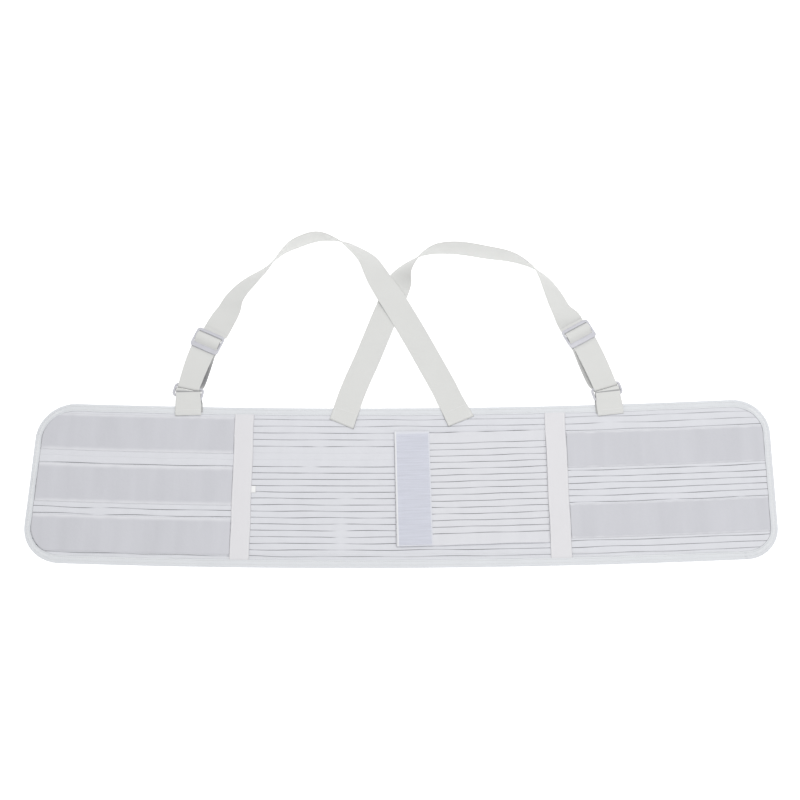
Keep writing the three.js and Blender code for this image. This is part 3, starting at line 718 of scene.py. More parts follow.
def stitched_box(place, low, high, count):
    """Stitches round a box between two corners; place gives points in space for places on the cloth."""
    corners = [low, (high[0], low[1]), high, (low[0], high[1])]
    sides = zip(corners, corners[1:] + corners[:1])
    return [stitched(place(*(np.linspace(a[k], b[k], count) for k in range(2)))) for a, b in sides]


def add_stitches(name, runs):
    """Threads lying on cloth, each from a start to an end."""
    start = np.vstack([run[0] for run in runs])
    end = np.vstack([run[1] for run in runs])
    part, share, rise = np.array(THREAD_SECTIONS).T
    paths = start[:, None] + (end - start)[:, None] * part[None, :, None]
    paths[:, :, 2] += rise
    aside = np.column_stack([unit(left_of(end - start)), np.zeros(len(start))])
    points, faces = tube_mesh(tube_rings(paths, aside, share * THREAD_RADIUS, THREAD_SIDES))
    return add_mesh(name, points, faces, thread, uv=points[:, :2])


# Ribbed elastic panels

def groove_places(grooves):
    return grooves["first"] + grooves["pitch"] * np.arange(grooves["count"])


def rib_rows(places, half, more=()):
    """Rows across the ribs, close together in each groove and wider apart on the crowns."""
    rows = [-half, half, *more]
    for place in places:
        rows.extend(place + np.array(GROOVE_OFFSETS))
    edges = np.r_[-half, places, half]
    for low, high in zip(edges[:-1], edges[1:]):
        rows.extend(np.linspace(low, high, CROWN_ROWS + 2)[1:-1])
    return np.unique(np.round(rows, 2))


def groove_relief(x, y, places, seed, gapes, pressed=(), faint=()):
    """How deep the nearest groove is at each place, from 0 to 1, and how high the rib's dome is.

    Grooves stand open at gapes along the belt, and cloth closes them where it is pressed."""
    nearest = np.abs(y[..., None] - places).argmin(-1)
    away = np.abs(y - places[nearest])
    gaping = np.max([hump(x, gape, GAPE_REACH) for gape in gapes], axis=0)
    openness = np.zeros(x.shape)
    for k, place in enumerate(places):
        vary = GROOVE_VARY["mean"] + GROOVE_VARY["swing"] * ripple(x, seed + k, GROOVE_VARY["length"])
        vary = np.maximum(np.clip(vary, GROOVE_VARY["low"], 1), gaping)
        openness = np.where(nearest == k, FAINT_OPENNESS if place in faint else vary, openness)
    for spot_x, spot_y, along, across in pressed:
        reach = ((x - spot_x) / along) ** 2 + ((y - spot_y) / across) ** 2
        openness = openness * (1 - np.exp(-reach ** 2))
    openness = openness * np.interp(y, GROOVE_WEIGHT["y"], GROOVE_WEIGHT["share"])
    depth = np.clip((GROOVE_HALF - away) / GROOVE_WALL, 0, 1) * openness
    return depth, np.sin(np.clip(math.pi * away / RIB_PITCH, 0, math.pi / 2))


def add_ribbed(node, x, y, top, bottom, relief, dome, dark, material):
    """A ribbed slab over a grid of places."""
    upper = top - RIB_DOME * (1 - dome) - GROOVE_DEEP * relief
    lower = bottom + GROOVE_UNDER * relief
    # dark is the shade painted on the upper face: in the grooves, and on the tension band along its edges too
    piece = add_layer(node, "_knit", x, y, upper, lower, material, dark, np.zeros(dark.shape))


def add_panels():
    half = HALF_HEIGHT - BINDING_SIDE + BINDING_OVER
    places = np.concatenate([groove_places(LOWER_GROOVES), FAINT_GROOVES, groove_places(UPPER_GROOVES)])
    rows = rib_rows(places, half)
    ends = {s: end_x(rows, s, BINDING_ENDS[s] - BINDING_OVER, BINDING_SIDE - BINDING_OVER) for s in (-1, 1)}
    starts = [ends[-1], *(tape["x"] + GAP / 2 for tape in SEAM_TAPES)]
    stops = [*(tape["x"] - GAP / 2 for tape in SEAM_TAPES), ends[1]]
    gapes = [tape["x"] + side * tape["wide"] / 2 for tape in SEAM_TAPES for side in (-1, 1)]
    for number, (node, openness) in enumerate(PANEL_OPENNESS.items()):
        start = np.broadcast_to(starts[number], rows.shape)[:, None]
        stop = np.broadcast_to(stops[number], rows.shape)[:, None]
        long = float((stop - start).max())
        part, y = grid(np.linspace(0, 1, int(long / COLUMN_STEP) + 1), rows)
        x = start + (stop - start) * part
        relief, dome = groove_relief(x, y, places, PANEL_SEED, gapes, PRESSED, FAINT_GROOVES)
        relief = relief * openness
        y = y + wander(x + PANEL_DRIFT["skew"] * y, PANEL_DRIFT, number)
        # The grooves' depth also sets how much shade is painted into them
        add_ribbed(node, x, y, PANEL_TOP, PANEL_BOTTOM, relief, dome, relief, elastic)


# Binding round the edge

def binding_width(inward):
    """Width of the binding by the direction of the edge."""
    ends = np.where(inward[:, 0] > 0, BINDING_ENDS[-1], BINDING_ENDS[1])
    return BINDING_SIDE * inward[:, 1] ** 2 + ends * inward[:, 0] ** 2


def binding_row(edge, inward, wide, share):
    """A line on the binding at a share of its width in from the fold."""
    return np.column_stack([edge + inward * (wide * share)[:, None], np.full(len(edge), BINDING_STITCH_Z)])


def add_binding():
    edge, inward = belt_edge(OUTLINE_STEP)
    at = lengths_along(edge)
    wide = binding_width(inward) + wander(at, BINDING_WOBBLE)
    part, height, dark = np.array(BINDING_SECTION).T
    plan = edge[:, None] + inward[:, None] * (wide[:, None] * part[None])[..., None]
    rings = np.concatenate([plan, np.broadcast_to(height[None, :, None], (*plan.shape[:2], 1))], -1)
    uv = np.stack(np.broadcast_arrays(at[:, None], part * BINDING_SIDE), -1)
    # Painted shade: an inner-edge shadow line, faint on the long sides, and dark stitch channels there
    ends = np.abs(inward[:, 0])
    inner = BINDING_SIDE_DARK + (1 - BINDING_SIDE_DARK) * ends
    shade = np.where(part > BINDING_INNER_FROM, dark * inner[:, None], dark * (1 - ends)[:, None])
    piece = add_rings("binding_tape", rings, True, binding_cloth, "binding", uv, shade)

    on_end = ends > BINDING_ZIGZAG["ends_from"]
    runs = []
    for share in BINDING_ROWS:
        for side in (-1, 1):
            chosen = ~on_end & (inward[:, 1] * side > 0)
            runs.append(stitched(binding_row(edge, inward, wide, share)[chosen]))
    for side in (-1, 1):
        chosen = on_end & (inward[:, 0] * side > 0)
        order = np.argsort(edge[chosen][:, 1])
        rails = []
        for rail in ("in", "out"):
            line = binding_row(edge, inward, wide, BINDING_ZIGZAG[rail])[chosen][order]
            rails.append(resampled(line, BINDING_ZIGZAG["pitch"]))
        turns = np.array([rails[k % 2][k] for k in range(min(len(rail) for rail in rails))])
        runs.append((turns[:-1], turns[1:]))
    stitches = add_stitches("binding_stitches", runs)


# Tapes on the front

def add_tag():
    """Small blank tag, caught under the left seam tape."""
    part = np.r_[np.linspace(0, TAG_LINES["to"], TAG_LINES["count"]), 1 - TAG_LINES["edge"], 1]
    start = SEAM_TAPES[0]["x"] + SEAM_TAPES[0]["wide"] / 2 - TAG["tuck"]
    x, y = grid(start + (TAG["wide"] + TAG["tuck"]) * part, TAG["y"] + TAG["tall"] * (part - 0.5))
    top = FRONT + TAG["thick"] + TAG["crown"] * np.sin(math.pi * part)
    # A shadow line painted along the tag's free edge
    dark = np.broadcast_to(part > 1 - TAG_LINES["edge"], x.shape)
    return add_layer("tag", "_cloth", x, y, top, FRONT, tag_cloth, dark, dark)


def add_seam_tapes():
    inner = HALF_HEIGHT - BINDING_SIDE
    half = inner + SEAM_TUCK
    columns = np.r_[-np.array(SEAM_COLUMNS), 0, SEAM_COLUMNS[::-1]]
    line = np.linspace(-inner + SEAM_STITCH["ends"], inner - SEAM_STITCH["ends"], SEAM_STITCH["points"])
    tag = add_tag()
    for tape in SEAM_TAPES:
        node = tape["node"]
        edge = tape["wide"] / 2
        off, y = grid(edge * columns, np.linspace(-half, half, SEAM_ROWS))
        x = tape["x"] + off + wander(y, SEAM_WANDER)
        away = edge - np.abs(off)
        dip = hump(away, SEAM_STITCH["in"], SEAM_STITCH["reach"])
        full = SEAM_EDGE["least"] + (1 - SEAM_EDGE["least"]) * rounded_edge(away, SEAM_EDGE["round"])
        top = FRONT + (SEAM_TOP - FRONT) * full - SEAM_STITCH["dip"] * dip
        top = np.where(np.abs(y) > inner, np.minimum(top, FRONT + LAID), top)
        # A shadow line painted along both edges of the tape
        dark = SEAM_EDGE["dark"] * (away < SEAM_EDGE["part"] * edge)
        piece = add_layer(node, "_cloth", x, y, top, FRONT - SUNK, seam_cloth, dark, dark)
        runs = []
        for side in (-1, 1):
            place = tape["x"] + side * (edge - SEAM_STITCH["in"]) + wander(line, SEAM_WANDER)
            runs.append(stitched(on_belt(place, line, SEAM_TOP - SEAM_STITCH["below"])))
        on_it = [add_stitches(node + "_stitches", runs)]
        if tape is SEAM_TAPES[0]:
            on_it.append(tag)


def add_pile_bands():
    for number, band in enumerate(PILE_BANDS):
        side = band["side"]
        tape = SEAM_TAPES[0 if side < 0 else 1]
        near = tape["x"] + side * (tape["wide"] / 2 + GAP)
        half = band["wide"] / 2
        rows = np.linspace(band["y"] - half, band["y"] + half, int(band["wide"] / PILE_STEP) + 1)
        far = end_x(rows, side, BINDING_ENDS[side] + GAP, BINDING_SIDE + GAP)
        part = np.linspace(0, 1, int(abs(far[len(rows) // 2] - near) / PILE_STEP) + 1)
        part, y = grid(part[::side], rows)
        x = near + (far[:, None] - near) * part
        fray = wander(x, PILE_FRAY, number)
        low, high = band["ramps"]
        pile = eased((y - rows[0] + fray) / low) * eased((rows[-1] - y + fray) / high)
        nap = np.random.default_rng(PILE_NAP["seed"] + number).normal(0, PILE_NAP["rise"], x.shape) * pile
        top = PILE_SELVEDGE_TOP + (PILE_TOP - PILE_SELVEDGE_TOP) * pile + nap
        if band["node"] == PILE_CREASE["node"]:
            top = top - PILE_CREASE["deep"] * pile * hump(x, PILE_CREASE["x"], PILE_CREASE["reach"])
        plain = np.ones(pile.shape)
        piece = add_layer(
            band["node"], "_cloth", x, y, top, FRONT - SUNK, pile_cloth, plain - pile, plain,
        )


# Tension band and hook patch

def add_tension_band():
    sewn_x = SEAM_TAPES[1]["x"] - SEAM_TAPES[1]["wide"] / 2 - GAP
    reach = sewn_x - TENSION["free_x"]
    half = TENSION["tall"] / 2
    places = groove_places(BAND_GROOVES)
    edge_rows = [side * (half - inset) for side in (-1, 1) for inset in TENSION_EDGE["rows"]]
    rows = rib_rows(places, half, edge_rows)
    columns = np.linspace(TENSION_END["wide"] - reach, 0, int(reach / COLUMN_STEP) + 1)
    flat_x, flat_y = grid(np.r_[-reach, columns], rows)
    gapes = [HOOK["x"] + HOOK["wide"] / 2 - sewn_x, 0.0]
    relief, dome = groove_relief(flat_x, flat_y, places, BAND_SEED, gapes)
    dome = np.where(np.abs(flat_y) > places[-1] + RIB_PITCH / 2, 1, dome)
    drift = wander(flat_x + BAND_DRIFT["skew"] * flat_y, BAND_DRIFT)
    swing = math.tan(math.radians(TENSION["turn"]))
    x = sewn_x + flat_x + swing * flat_y * flat_x / reach
    y = TENSION["y"] + flat_y + swing * flat_x + drift
    fade = TENSION_CURL["fade"]
    curl = TENSION_CURL["rise"] * np.clip(1 - (flat_y + half) / TENSION_CURL["reach"], 0, 1) ** 2
    curl = curl * eased((x - TENSION_CURL["from_x"]) / fade) * eased(-flat_x / fade)
    top = TENSION["top"] - edge_drop(half - np.abs(flat_y), TENSION_EDGE) + curl
    # Painted shade: the grooves, a shadow line of wandering strength along the upper edge, and one along the
    # free end
    vary = TENSION_EDGE_VARY["mean"] + wander(flat_x, TENSION_EDGE_VARY)
    edge = np.clip(vary, TENSION_EDGE_VARY["low"], 1)
    dark = np.maximum(relief, edge * (flat_y > half - TENSION_EDGE["dark_in"]))
    # A shadow painted along the free end
    dark = np.maximum(dark, TENSION_END["dark"] * (flat_x < columns[0]))
    bottom = FRONT + LAID + curl
    add_ribbed("tension_band", x, y, top, bottom, relief, dome, dark, band_elastic)


def on_patch(u, v, z):
    """Points on the hook patch, from places across and along it."""
    x, y = turned(u, v, HOOK["turn"])
    return on_belt(HOOK["x"] + x, HOOK["y"] + y, z)


def patch_lines(half, low, high, count):
    """Grid lines across the hook patch, with more at the inner edges of two borders."""
    borders = np.array([low - half, half - high])
    lines = np.r_[np.linspace(-half, half, count), borders - BORDER_FADE / 2, borders + BORDER_FADE / 2]
    return np.unique(np.round(lines, 3))


def add_hooks(half_u, half_v, borders):
    """Rows of small plastic hooks that lean along the tape by turns."""
    reach_u = (borders["left"] + HOOK_MARGIN - half_u, half_u - HOOK_MARGIN - borders["right"])
    reach_v = (borders["low"] + HOOK_MARGIN - half_v, half_v - HOOK_MARGIN - borders["high"])
    u, v = np.meshgrid(np.arange(*reach_u, HOOK_PITCH), np.arange(*reach_v, HOOK_PITCH))
    rng = np.random.default_rng(HOOK_SCATTER["seed"])
    u = u.ravel() + rng.normal(0, HOOK_SCATTER["across"], u.size)
    v = v.ravel() + rng.normal(0, HOOK_SCATTER["along"], v.size)
    facing = np.where(np.arange(u.size) % 2, 1.0, -1.0)
    paths = []
    for lean, rise in zip(HOOK_LEAN, HOOK_RISE):
        paths.append(on_patch(u + facing * lean, v, HOOK["top"] + HOOK_TALL * rise))
    aside = np.tile([*heading(HOOK["turn"]), 0.0], (u.size, 1))
    radii = HOOK_THICK / 2 * np.array(HOOK_TAPER)
    points, faces = tube_mesh(tube_rings(np.stack(paths, 1), aside, radii, HOOK_SIDES))
    shade = np.zeros(len(points))
    return add_mesh("hook_patch_hooks", points, faces, hook_cloth, uv=points[:, :2], shade=shade)


def add_hook_patch():
    half_u = HOOK["wide"] / 2
    half_v = HOOK["tall"] / 2
    borders = {side: wide for side, (wide, _) in HOOK_BORDERS.items()}
    columns = patch_lines(half_u, borders["left"], borders["right"], HOOK_LINES["across"])
    u, v = grid(columns, patch_lines(half_v, borders["low"], borders["high"], HOOK_LINES["along"]))
    sides = {"left": u + half_u, "right": half_u - u, "low": v + half_v, "high": half_v - v}
    top = HOOK["top"] - edge_drop(np.minimum.reduce(list(sides.values())), HOOK_EDGE)
    flat = on_patch(u, v, 0)
    points, faces = slab(flat[..., 0], flat[..., 1], top, HOOK["bottom"])
    border = np.zeros(u.shape)
    for side, (wide, white) in HOOK_BORDERS.items():
        border = np.maximum(border, white * np.clip((wide - sides[side]) / BORDER_FADE + 0.5, 0, 1))
    plain = np.ones(u.shape)
    piece = add_slab("hook_patch_tape", points, faces, hook_cloth, "hook_patch", u, v, border, plain)

    def on_top(across, along):
        return on_patch(across, along, HOOK["top"] - HOOK_STITCH["below"])

    corner = (half_u - HOOK_STITCH["in"], half_v - HOOK_STITCH["in"])
    runs = stitched_box(on_top, (-corner[0], -corner[1]), corner, HOOK_STITCH["points"])
    on_it = [add_hooks(half_u, half_v, borders), add_stitches("hook_patch_stitches", runs)]
    flat = (HOOK["wide"] * MM, HOOK["tall"] * MM)


# Webbing straps

def centripetal(points, steps):
    """A smooth plan curve through points, with some steps to each span."""
    padded = np.vstack([2 * points[0] - points[1], points, 2 * points[-1] - points[-2]])
    knots = np.r_[0, np.cumsum(np.sqrt(np.linalg.norm(np.diff(padded, axis=0), axis=1)))]
    spans = []
    for k in range(len(points) - 1):
        p = padded[k:k + 4]
        t = knots[k:k + 4]
        s = (t[1] + (t[2] - t[1]) * np.arange(steps) / steps)[:, None]
        a = [((t[j + 1] - s) * p[j] + (s - t[j]) * p[j + 1]) / (t[j + 1] - t[j]) for j in range(3)]
        b = [((t[j + 2] - s) * a[j] + (s - t[j]) * a[j + 1]) / (t[j + 2] - t[j]) for j in range(2)]
        spans.append(((t[2] - s) * b[0] + (s - t[1]) * b[1]) / (t[2] - t[1]))
    return np.vstack([*spans, points[-1:]])


def smoothed(values, window):
    """Moving average that keeps both ends."""
    padded = np.r_[np.full(window, values[0]), values, np.full(window, values[-1])]
    return np.convolve(padded, np.ones(window) / window, "same")[window:-window]


def cut_corners(points, rounds):
    """Rounds a path off by cutting a quarter of each span at its corners, and keeps its ends."""
    for _ in range(rounds):
        early = 0.75 * points[:-1] + 0.25 * points[1:]
        late = 0.25 * points[:-1] + 0.75 * points[1:]
        points = np.vstack([points[:1], np.stack([early, late], 1).reshape(-1, points.shape[1]), points[-1:]])
    return points


def wrap_points(run, z, reach, rise, start, stop, aside=(0.0, 0.0), drawn=(1.0, 1.0), dark=0.0):
    """Half turn round a bar, as steps of a layered path, with its first and last place aside and width, and
    shade painted up to dark at the fold's outer edge.
    """
    angle = np.radians(np.linspace(start, stop, WRAP_STEPS + 1))
    aside = np.linspace(*aside, WRAP_STEPS + 1)
    drawn = np.linspace(*drawn, WRAP_STEPS + 1)
    # Painted shade along the fold's outer edge
    shade = dark * np.abs(np.sin(angle)) ** FOLD_DARK["sharp"]
    return np.stack([run + reach * np.sin(angle), z + rise * np.cos(angle), aside, shade, drawn], -1).tolist()


def layered(steps):
    """Rounds off a path of steps: run, height, distance to the inner side, shade, and share of the width."""
    return resampled(cut_corners(np.array(steps), LAYER_ROUNDS), LAYER_STEP)


def ring_bar(strap, side):
    """Middle of the ring's upper (1) or lower (-1) bar in plan."""
    return np.array(strap["ring"]) + side * heading(strap["ring_turn"]) * (RING["tall"] - RING["bar"]) / 2


def slider_turn(strap):
    """Turn of the slider in plan, in degrees."""
    run = ring_bar(strap, 1) - np.array(strap["slider"])
    return math.degrees(math.atan2(run[0], -run[1])) + strap["slider_skew"]


def lower_path(strap):
    """Through the slider, over the ring's upper bar and back to the slider's middle bar."""
    slider = np.array(strap["slider"])
    run = ring_bar(strap, 1) - slider
    length = float(np.linalg.norm(run))
    run /= length
    slider_run = -heading(slider_turn(strap))
    slider_across = strap["inner"] * left_of(slider_run)
    fold = strap["fold"]
    ring_across = strap["inner"] * heading(fold["turn"] - 90)

    layer = WEBBING_THICK + GAP
    slider_z = SLIDER_EDGE["z"]
    ring_z = RING_EDGE["z"]
    under_bar = slider_z - SLIDER["thick"] / 2 - BAR_CLEAR - HALF_THICK
    over_wrap = slider_z + SLIDER["thick"] / 2 + GAP + HALF_THICK + layer
    inside_up = SLIDER["tall"] / 2 - SLIDER["bar"] - HALF_THICK
    inside_low = SLIDER["tall"] / 2 - SLIDER["lower"] - HALF_THICK
    outside = SLIDER["tall"] / 2 + WEBBING_THICK
    ramp_in = inside_up - SLIDER_RAMPS[0] * (over_wrap - under_bar)
    ramp_out = inside_low - SLIDER_RAMPS[1] * (over_wrap - under_bar)
    middle = (SLIDER["bar"] - SLIDER["lower"]) / 2
    ring_reach = RING["bar"] / 2 + BAR_PLAY + HALF_THICK
    ring_rise = RING["thick"] / 2 + GAP + HALF_THICK
    middle_reach = SLIDER["middle"] / 2 + GAP + HALF_THICK
    bulge = length * LAYER_BULGE["part"]
    near = strap["near"]
    far = strap["far"]
    under = strap["under"]
    drawn = strap["drawn"]
    inset = [(share - 1) * HALF_WIDE for share in drawn]
    climb = outside + LAYER_CLIMB["run"]
    steps = layered([
        (-outside - SLIDER["middle"], under_bar, strap["entry"], 0.0, 1.0),
        (-outside, under_bar, strap["entry"], 0.0, 1.0),
        (-inside_up - SLIDER["bar"] / 2, under_bar, 0.0, 0.0, WINDOW_SHARE),
        (-inside_up - HALF_THICK, under_bar, 0.0, 0.0, WINDOW_SHARE),
        (-ramp_in, over_wrap, 0.0, 0.0, 1.0),
        (ramp_out, over_wrap, 0.0, 0.0, 1.0),
        (inside_low, under_bar, 0.0, 0.0, WINDOW_SHARE),
        (outside, under_bar, inset[0], 0.0, drawn[0]),
        (climb, under_bar + LAYER_CLIMB["rise"], inset[0], 0.0, drawn[0]),
        (bulge, ring_z + ring_rise + LAYER_BULGE["rise"], inset[1], 0.0, drawn[1]),
        # The fold round the ring gets painted shade at its outer edge
        *wrap_points(
            length, ring_z, ring_reach, ring_rise, 0, 180,
            aside=(fold["aside"], 0.0), drawn=(fold["share"], FOLD_RETURN), dark=FOLD_DARK["most"],
        ),
        # Layers under the front one take painted shade, fading out near the slider
        (length - 2 * RING["bar"], ring_z - ring_rise, far, under, 1.0),
        (bulge, ring_z - ring_rise, far, under, 1.0),
        (climb, under_bar - layer, near, UNDER_FADE * under, 1.0),
        (outside - SLIDER["lower"] / 2, under_bar - layer, near, 0.0, 1.0),
        (inside_low - END_BEFORE_BAR, under_bar - layer, 0.0, 0.0, WINDOW_SHARE),
        *wrap_points(
            middle, slider_z, -middle_reach, slider_z - under_bar, 180, -END_PAST_TOP,
            drawn=(WINDOW_SHARE, WINDOW_SHARE),
        ),
    ])
    part = np.clip((steps[:, 0] - outside) / (length - outside), 0, 1)[:, None]
    across = unit(slider_across * (1 - part) + ring_across * part)
    skew = (slider_run - run) * np.minimum(steps[:, :1], outside) * (1 - part)
    plan = slider + run * steps[:, :1] + skew + across * steps[:, 2:3]
    points = np.column_stack([plan, steps[:, 1]])
    across = np.column_stack([across * steps[:, 4:], np.zeros(len(across))])
    # The loop's inner edge in the slider's windows gets a painted shadow line
    in_window = (np.abs(steps[:, 0]) < inside_up) & (steps[:, 1] > slider_z)
    return points, across, steps[:, 3], LOOP_EDGE_DARK * in_window


def upper_path(strap, entry, entry_across):
    """Sewn foot, crossing and arch, down to the slider, which it enters straight."""
    rows = np.array([*strap["rows"], (entry[0], entry[1], 0, entry[2] - HALF_THICK)], float)
    plan = centripetal(np.vstack([rows[:, :2], strap["slider"]]), STRAP_STEPS)
    count = (len(rows) - 1) * STRAP_STEPS
    along = unit(np.gradient(plan, axis=0)[:count])
    part = np.arange(count) / STRAP_STEPS
    number = np.arange(len(rows))
    window = STRAP_STEPS // 2 * 2 + 1
    roll = np.radians(smoothed(np.interp(part, number, rows[:, 2]), window))
    lift = smoothed(np.interp(part, number, rows[:, 3]), window)
    inner = strap["inner"] * left_of(along)
    across = np.column_stack([inner * np.cos(roll)[:, None], np.sin(roll)])
    height = lift + HALF_THICK + HALF_WIDE * np.sin(roll)
    both = resampled(np.column_stack([plan[:count], height, across]), STRAP_STEP)
    points = both[:, :3]
    across = unit(both[:, 3:])
    at = lengths_along(points)
    near_slider = eased(1 - (at[-1] - at) / ENTRY_REACH)[:, None]
    across = across * (1 - near_slider) + entry_across * near_slider
    turn, flare = strap["foot"]
    near_foot = eased(1 - at / FOOT_REACH)[:, None]
    skew = math.tan(math.radians(turn)) * np.column_stack([along[0, 0], along[0, 1], 0.0])
    return points, (across + skew * near_foot) * (1 + (flare - 1) * near_foot)


def ribbon_normals(points, across):
    return unit(np.cross(np.gradient(points, axis=0), across))


def add_ribbon(node, points, across, shade, inner_edge, outer_edge):
    """Closed ribbon of webbing along points, with its width along across; gives the piece and its length.

    Along it, shade is the shade painted on it, and the last two are how dark the shadow lines painted along
    its edges are."""
    normal = ribbon_normals(points, across)
    upper = [*WEBBING_FACE, (0.0, 1.0), *((-u, h) for u, h in reversed(WEBBING_FACE))]
    u, h = np.array(upper + [(u, -h) for u, h in reversed(upper)]).T
    wide = across[:, None] * (u * HALF_WIDE)[None, :, None]
    rings = points[:, None] + wide + normal[:, None] * (h * HALF_THICK)[None, :, None]
    at = lengths_along(points)
    uv = np.stack(np.broadcast_arrays(u * HALF_WIDE, at[:, None]), -1)
    edges = np.outer(inner_edge, u > EDGE_PART) + np.outer(outer_edge, u < -EDGE_PART)
    shades = np.maximum(shade[:, None], edges)
    piece = add_rings(node + "_webbing", rings, False, webbing, node, uv, shades)
    return piece, float(at[-1])


def ribbon_places(points, across, along_mm, across_mm):
    """Points just over a ribbon's upper face at lengths along and distances across it."""
    at = lengths_along(points)
    normal = ribbon_normals(points, across)
    normal = normal * np.where(normal[:, 2:] < 0, -1, 1)
    aside = sampled(across, at, along_mm) * np.asarray(across_mm)[:, None]
    over = sampled(normal, at, along_mm) * (HALF_THICK + WEBBING_STITCH["over"])
    return sampled(points, at, along_mm) + aside + over


def add_strap(strap):
    lower, lower_across, lower_shade, loop_edge = lower_path(strap)
    upper, upper_across = upper_path(strap, lower[0], lower_across[0])
    points = np.vstack([upper, lower])
    across = np.vstack([upper_across, lower_across])
    shade = np.r_[np.zeros(len(upper)), lower_shade]
    # Painted shadow along the edges of the sewn foot, and along the loop's inner edge in the slider
    sewn = np.clip(2 - 2 * lengths_along(points) / FOOT_REACH, 0, 1)
    inner_edge = FOOT_EDGES["inner"] * sewn + np.r_[np.zeros(len(upper)), loop_edge]
    node = strap["side"] + "_strap"
    piece, long = add_ribbon(node, points, across, shade, inner_edge, FOOT_EDGES["outer"] * sewn)

    def on_foot(along_mm, across_mm):
        return ribbon_places(upper, upper_across, along_mm, across_mm)

    runs = stitched_box(on_foot, FOOT_BOX["low"], FOOT_BOX["high"], WEBBING_STITCH["points"])
    stitches = add_stitches(node + "_stitches", runs)


def add_tab(strap):
    """Folded webbing, sewn to the top edge, that holds the ring by its lower bar."""
    along = heading(strap["tab_turn"])
    sewn = np.array(strap["tab"])
    bar_run = float((ring_bar(strap, -1) - sewn) @ along)
    edge_run = bent(sewn[0], HALF_HEIGHT)[1] - sewn[1]
    ring_z = RING_EDGE["z"]
    rise = RING["thick"] / 2 + GAP + HALF_THICK
    back = BINDING_HEIGHT + GAP + HALF_THICK
    front = back + WEBBING_THICK + GAP
    loop = bar_run + strap["tab_slack"]
    crease = strap["crease"]
    steps = layered([
        # The back layer, shifted to the inner side, carries painted shade
        (TAB_END, back, TAB_BACK_SHIFT, TAB_BACK_DARK, 1.0),
        (edge_run + TAB_LEVEL_PAST, back, TAB_BACK_SHIFT, TAB_BACK_DARK, 1.0),
        (edge_run + TAB_RISE_PAST, ring_z - rise, TAB_BACK_SHIFT, TAB_BACK_DARK, 1.0),
        (bar_run, ring_z - rise, TAB_BACK_SHIFT / 2, TAB_BACK_DARK, 1.0),
        *wrap_points(loop, ring_z, rise, rise, 180, 0),
        (bar_run, ring_z + rise, 0.0, 0.0, 1.0),
        (edge_run + TAB_RISE_PAST, ring_z + rise, 0.0, 0.0, 1.0),
        (edge_run, front, 0.0, 0.0, 1.0),
        (TAB_END, front, 0.0, 0.0, 1.0),
        (0.0, back - TAB_END_DROP, 0.0, 0.0, 1.0),
    ])
    swung = eased((steps[:, 0] - crease) / (loop + rise - crease))
    turn = np.radians(strap["tab_turn"] + swung * (strap["ring_turn"] - strap["tab_turn"]))
    across = np.stack([np.cos(turn), np.sin(turn), np.zeros(len(turn))], -1)
    by_ring = eased((steps[:, 0] - edge_run) / (bar_run - edge_run))[:, None]
    shift = strap["inner"] * steps[:, 2:3] * across[:, :2]
    tip = ring_bar(strap, -1) + heading(strap["ring_turn"]) * strap["tab_slack"]
    shift += swung[:, None] * (tip - sewn - along * loop)
    points = np.column_stack([sewn + along * steps[:, :1] + shift, steps[:, 1]])
    across *= 1 + (TAB_DRAWN - 1) * by_ring
    # A shadow line painted across the tab's front at the crease
    on_front = np.arange(len(steps)) > steps[:, 0].argmax()
    crease_shade = on_front * np.clip(TAB_CREASE_SHADE_REACH - np.abs(steps[:, 0] - crease), 0, 1)
    node = strap["side"] + "_tab"
    plain = np.zeros(len(points))
    piece, long = add_ribbon(node, points, across, np.maximum(steps[:, 3], crease_shade), plain, plain)
    offset = np.linspace(TAB_STITCH["in"] - HALF_WIDE, HALF_WIDE - TAB_STITCH["in"], WEBBING_STITCH["points"])
    runs = []
    for inset in TAB_STITCH["rows"]:
        runs.append(stitched(ribbon_places(points, across, np.full(len(offset), long - inset), offset)))
    stitches = add_stitches(node + "_stitches", runs)


# Moulded slider and ring

def rounded_rectangle(wide, tall, radius, y):
    points = []
    for number, (sx, sy) in enumerate(((1, 1), (-1, 1), (-1, -1), (1, -1))):
        angle = np.radians(90 * number + np.linspace(0, 90, MOULD["corner_points"]))
        corner = np.array([sx * (wide / 2 - radius), y + sy * (tall / 2 - radius)])
        points.append(corner + radius * np.stack([np.cos(angle), np.sin(angle)], -1))
    return np.vstack(points)


def frame_outlines(size, edge):
    """Outer edge and windows of a frame, drawn in by the radius of its rounded edges."""
    middle = size.get("middle", 0.0)
    windows = 2 if middle else 1
    lower = size.get("lower", size["bar"])
    tall = (size["tall"] - size["bar"] - lower - middle) / windows
    wide = size["wide"] - 2 * size["end"]
    radius = edge["round"]
    corner = edge["corner"] - radius / 2
    outlines = [rounded_rectangle(size["wide"] - 2 * radius, size["tall"] - 2 * radius, corner, 0)]
    for k in range(windows):
        y = lower - size["tall"] / 2 + tall / 2 + k * (tall + middle)
        outlines.append(rounded_rectangle(wide + 2 * radius, tall + 2 * radius, WINDOW_CORNER + radius, y))
    return outlines


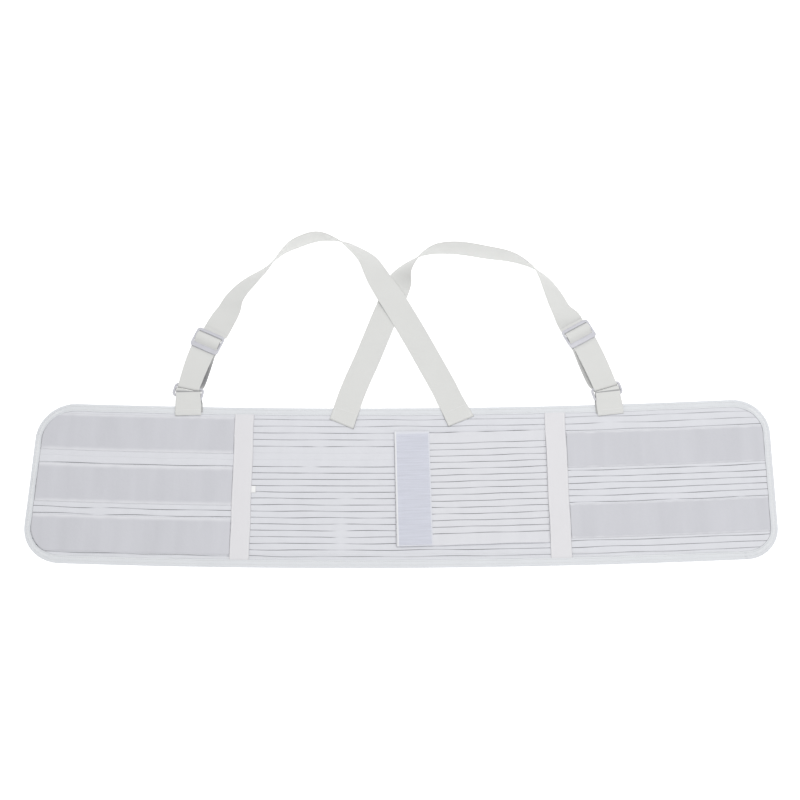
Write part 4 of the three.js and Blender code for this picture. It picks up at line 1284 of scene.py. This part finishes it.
def add_frame(node, size, edge, place, turn, material):
    """Moulded frame with rounded edges and one or two windows, lying flat."""
    curve = bpy.data.curves.new(node, "CURVE")
    curve.dimensions = "2D"
    curve.fill_mode = "BOTH"
    curve.extrude = size["thick"] / 2 - edge["round"]
    curve.bevel_depth = edge["round"]
    curve.bevel_resolution = MOULD["edge_steps"]
    for outline in frame_outlines(size, edge):
        spline = curve.splines.new("POLY")
        spline.points.add(len(outline) - 1)
        places = np.column_stack([outline, np.zeros(len(outline)), np.ones(len(outline))])
        spline.points.foreach_set("co", places.ravel())
        spline.use_cyclic_u = True
    holder = add_object(node + "_curve", curve)
    depsgraph = bpy.context.evaluated_depsgraph_get()
    filled = bpy.data.meshes.new_from_object(holder.evaluated_get(depsgraph))
    form = bmesh.new()
    form.from_mesh(filled)
    bmesh.ops.remove_doubles(form, verts=form.verts, dist=MOULD["weld"])
    bmesh.ops.recalc_face_normals(form, faces=form.faces)
    form.verts.index_update()
    points = np.array([v.co for v in form.verts])
    faces = [[v.index for v in face.verts] for face in form.faces]
    form.free()
    bpy.data.objects.remove(holder)
    bpy.data.curves.remove(curve)
    bpy.data.meshes.remove(filled)
    x, y = turned(points[:, 0], points[:, 1], turn)
    points = np.column_stack([place[0] + x, place[1] + y, points[:, 2] + edge["z"]])
    add_mesh(node + "_moulding", points, faces, material, node, sharp=MOULD["sharp"])


def add_hardware(strap):
    turn = slider_turn(strap)
    add_frame(strap["side"] + "_slider", SLIDER, SLIDER_EDGE, strap["slider"], turn, slider_plastic)
    add_frame(strap["side"] + "_ring", RING, RING_EDGE, strap["ring"], strap["ring_turn"], ring_plastic)


# Floor, light and camera

def add_stage():
    mesh = bpy.data.meshes.new("floor")
    corners = [(x * FLOOR_HALF, y * FLOOR_HALF, -FLOOR_DROP) for x, y in ((-1, -1), (1, -1), (1, 1), (-1, 1))]
    mesh.from_pydata(corners, [], [(0, 1, 2, 3)])
    material, tree, shader = new_material("floor")
    feed(tree, shader, Base_Color=FLOOR_TONE, Roughness=FLOOR_ROUGH, Specular_IOR_Level=0.0)
    feed(tree, shader, Emission_Color=WHITE, Emission_Strength=FLOOR_GLOW)
    mesh.materials.append(material)
    floor = add_object("floor", mesh)

    world = bpy.data.worlds.new("studio")
    world.use_nodes = True
    feed(world.node_tree, world.node_tree.nodes["Background"], Color=WHITE, Strength=SKY)
    bpy.context.scene.world = world

    lamp = bpy.data.lights.new("key", "AREA")
    lamp.shape = "DISK"
    lamp.size = KEY["size"]
    lamp.energy = KEY["power"]
    key = add_object("key", lamp)
    key.location = KEY["place"]
    key.rotation_euler = Vector(KEY["place"]).to_track_quat("Z", "Y").to_euler()
    bpy.context.scene.view_settings.view_transform = "Standard"


def add_camera():
    data = bpy.data.cameras.new("camera")
    data.sensor_width = CAMERA_SENSOR
    data.lens = CAMERA_LENS
    camera = add_object("camera", data)
    camera.location = CAMERA_PLACE
    tilt = Matrix.Rotation(math.radians(CAMERA_TILT), 3, "X")
    camera.rotation_euler = (tilt @ Matrix.Rotation(math.radians(CAMERA_ROLL), 3, "Z")).to_euler()
    bpy.context.scene.camera = camera


add_camera()
add_stage()
add_panels()
add_binding()
add_seam_tapes()
add_pile_bands()
add_tension_band()
add_hook_patch()
for strap in STRAPS:
    add_strap(strap)
    add_tab(strap)
    add_hardware(strap)
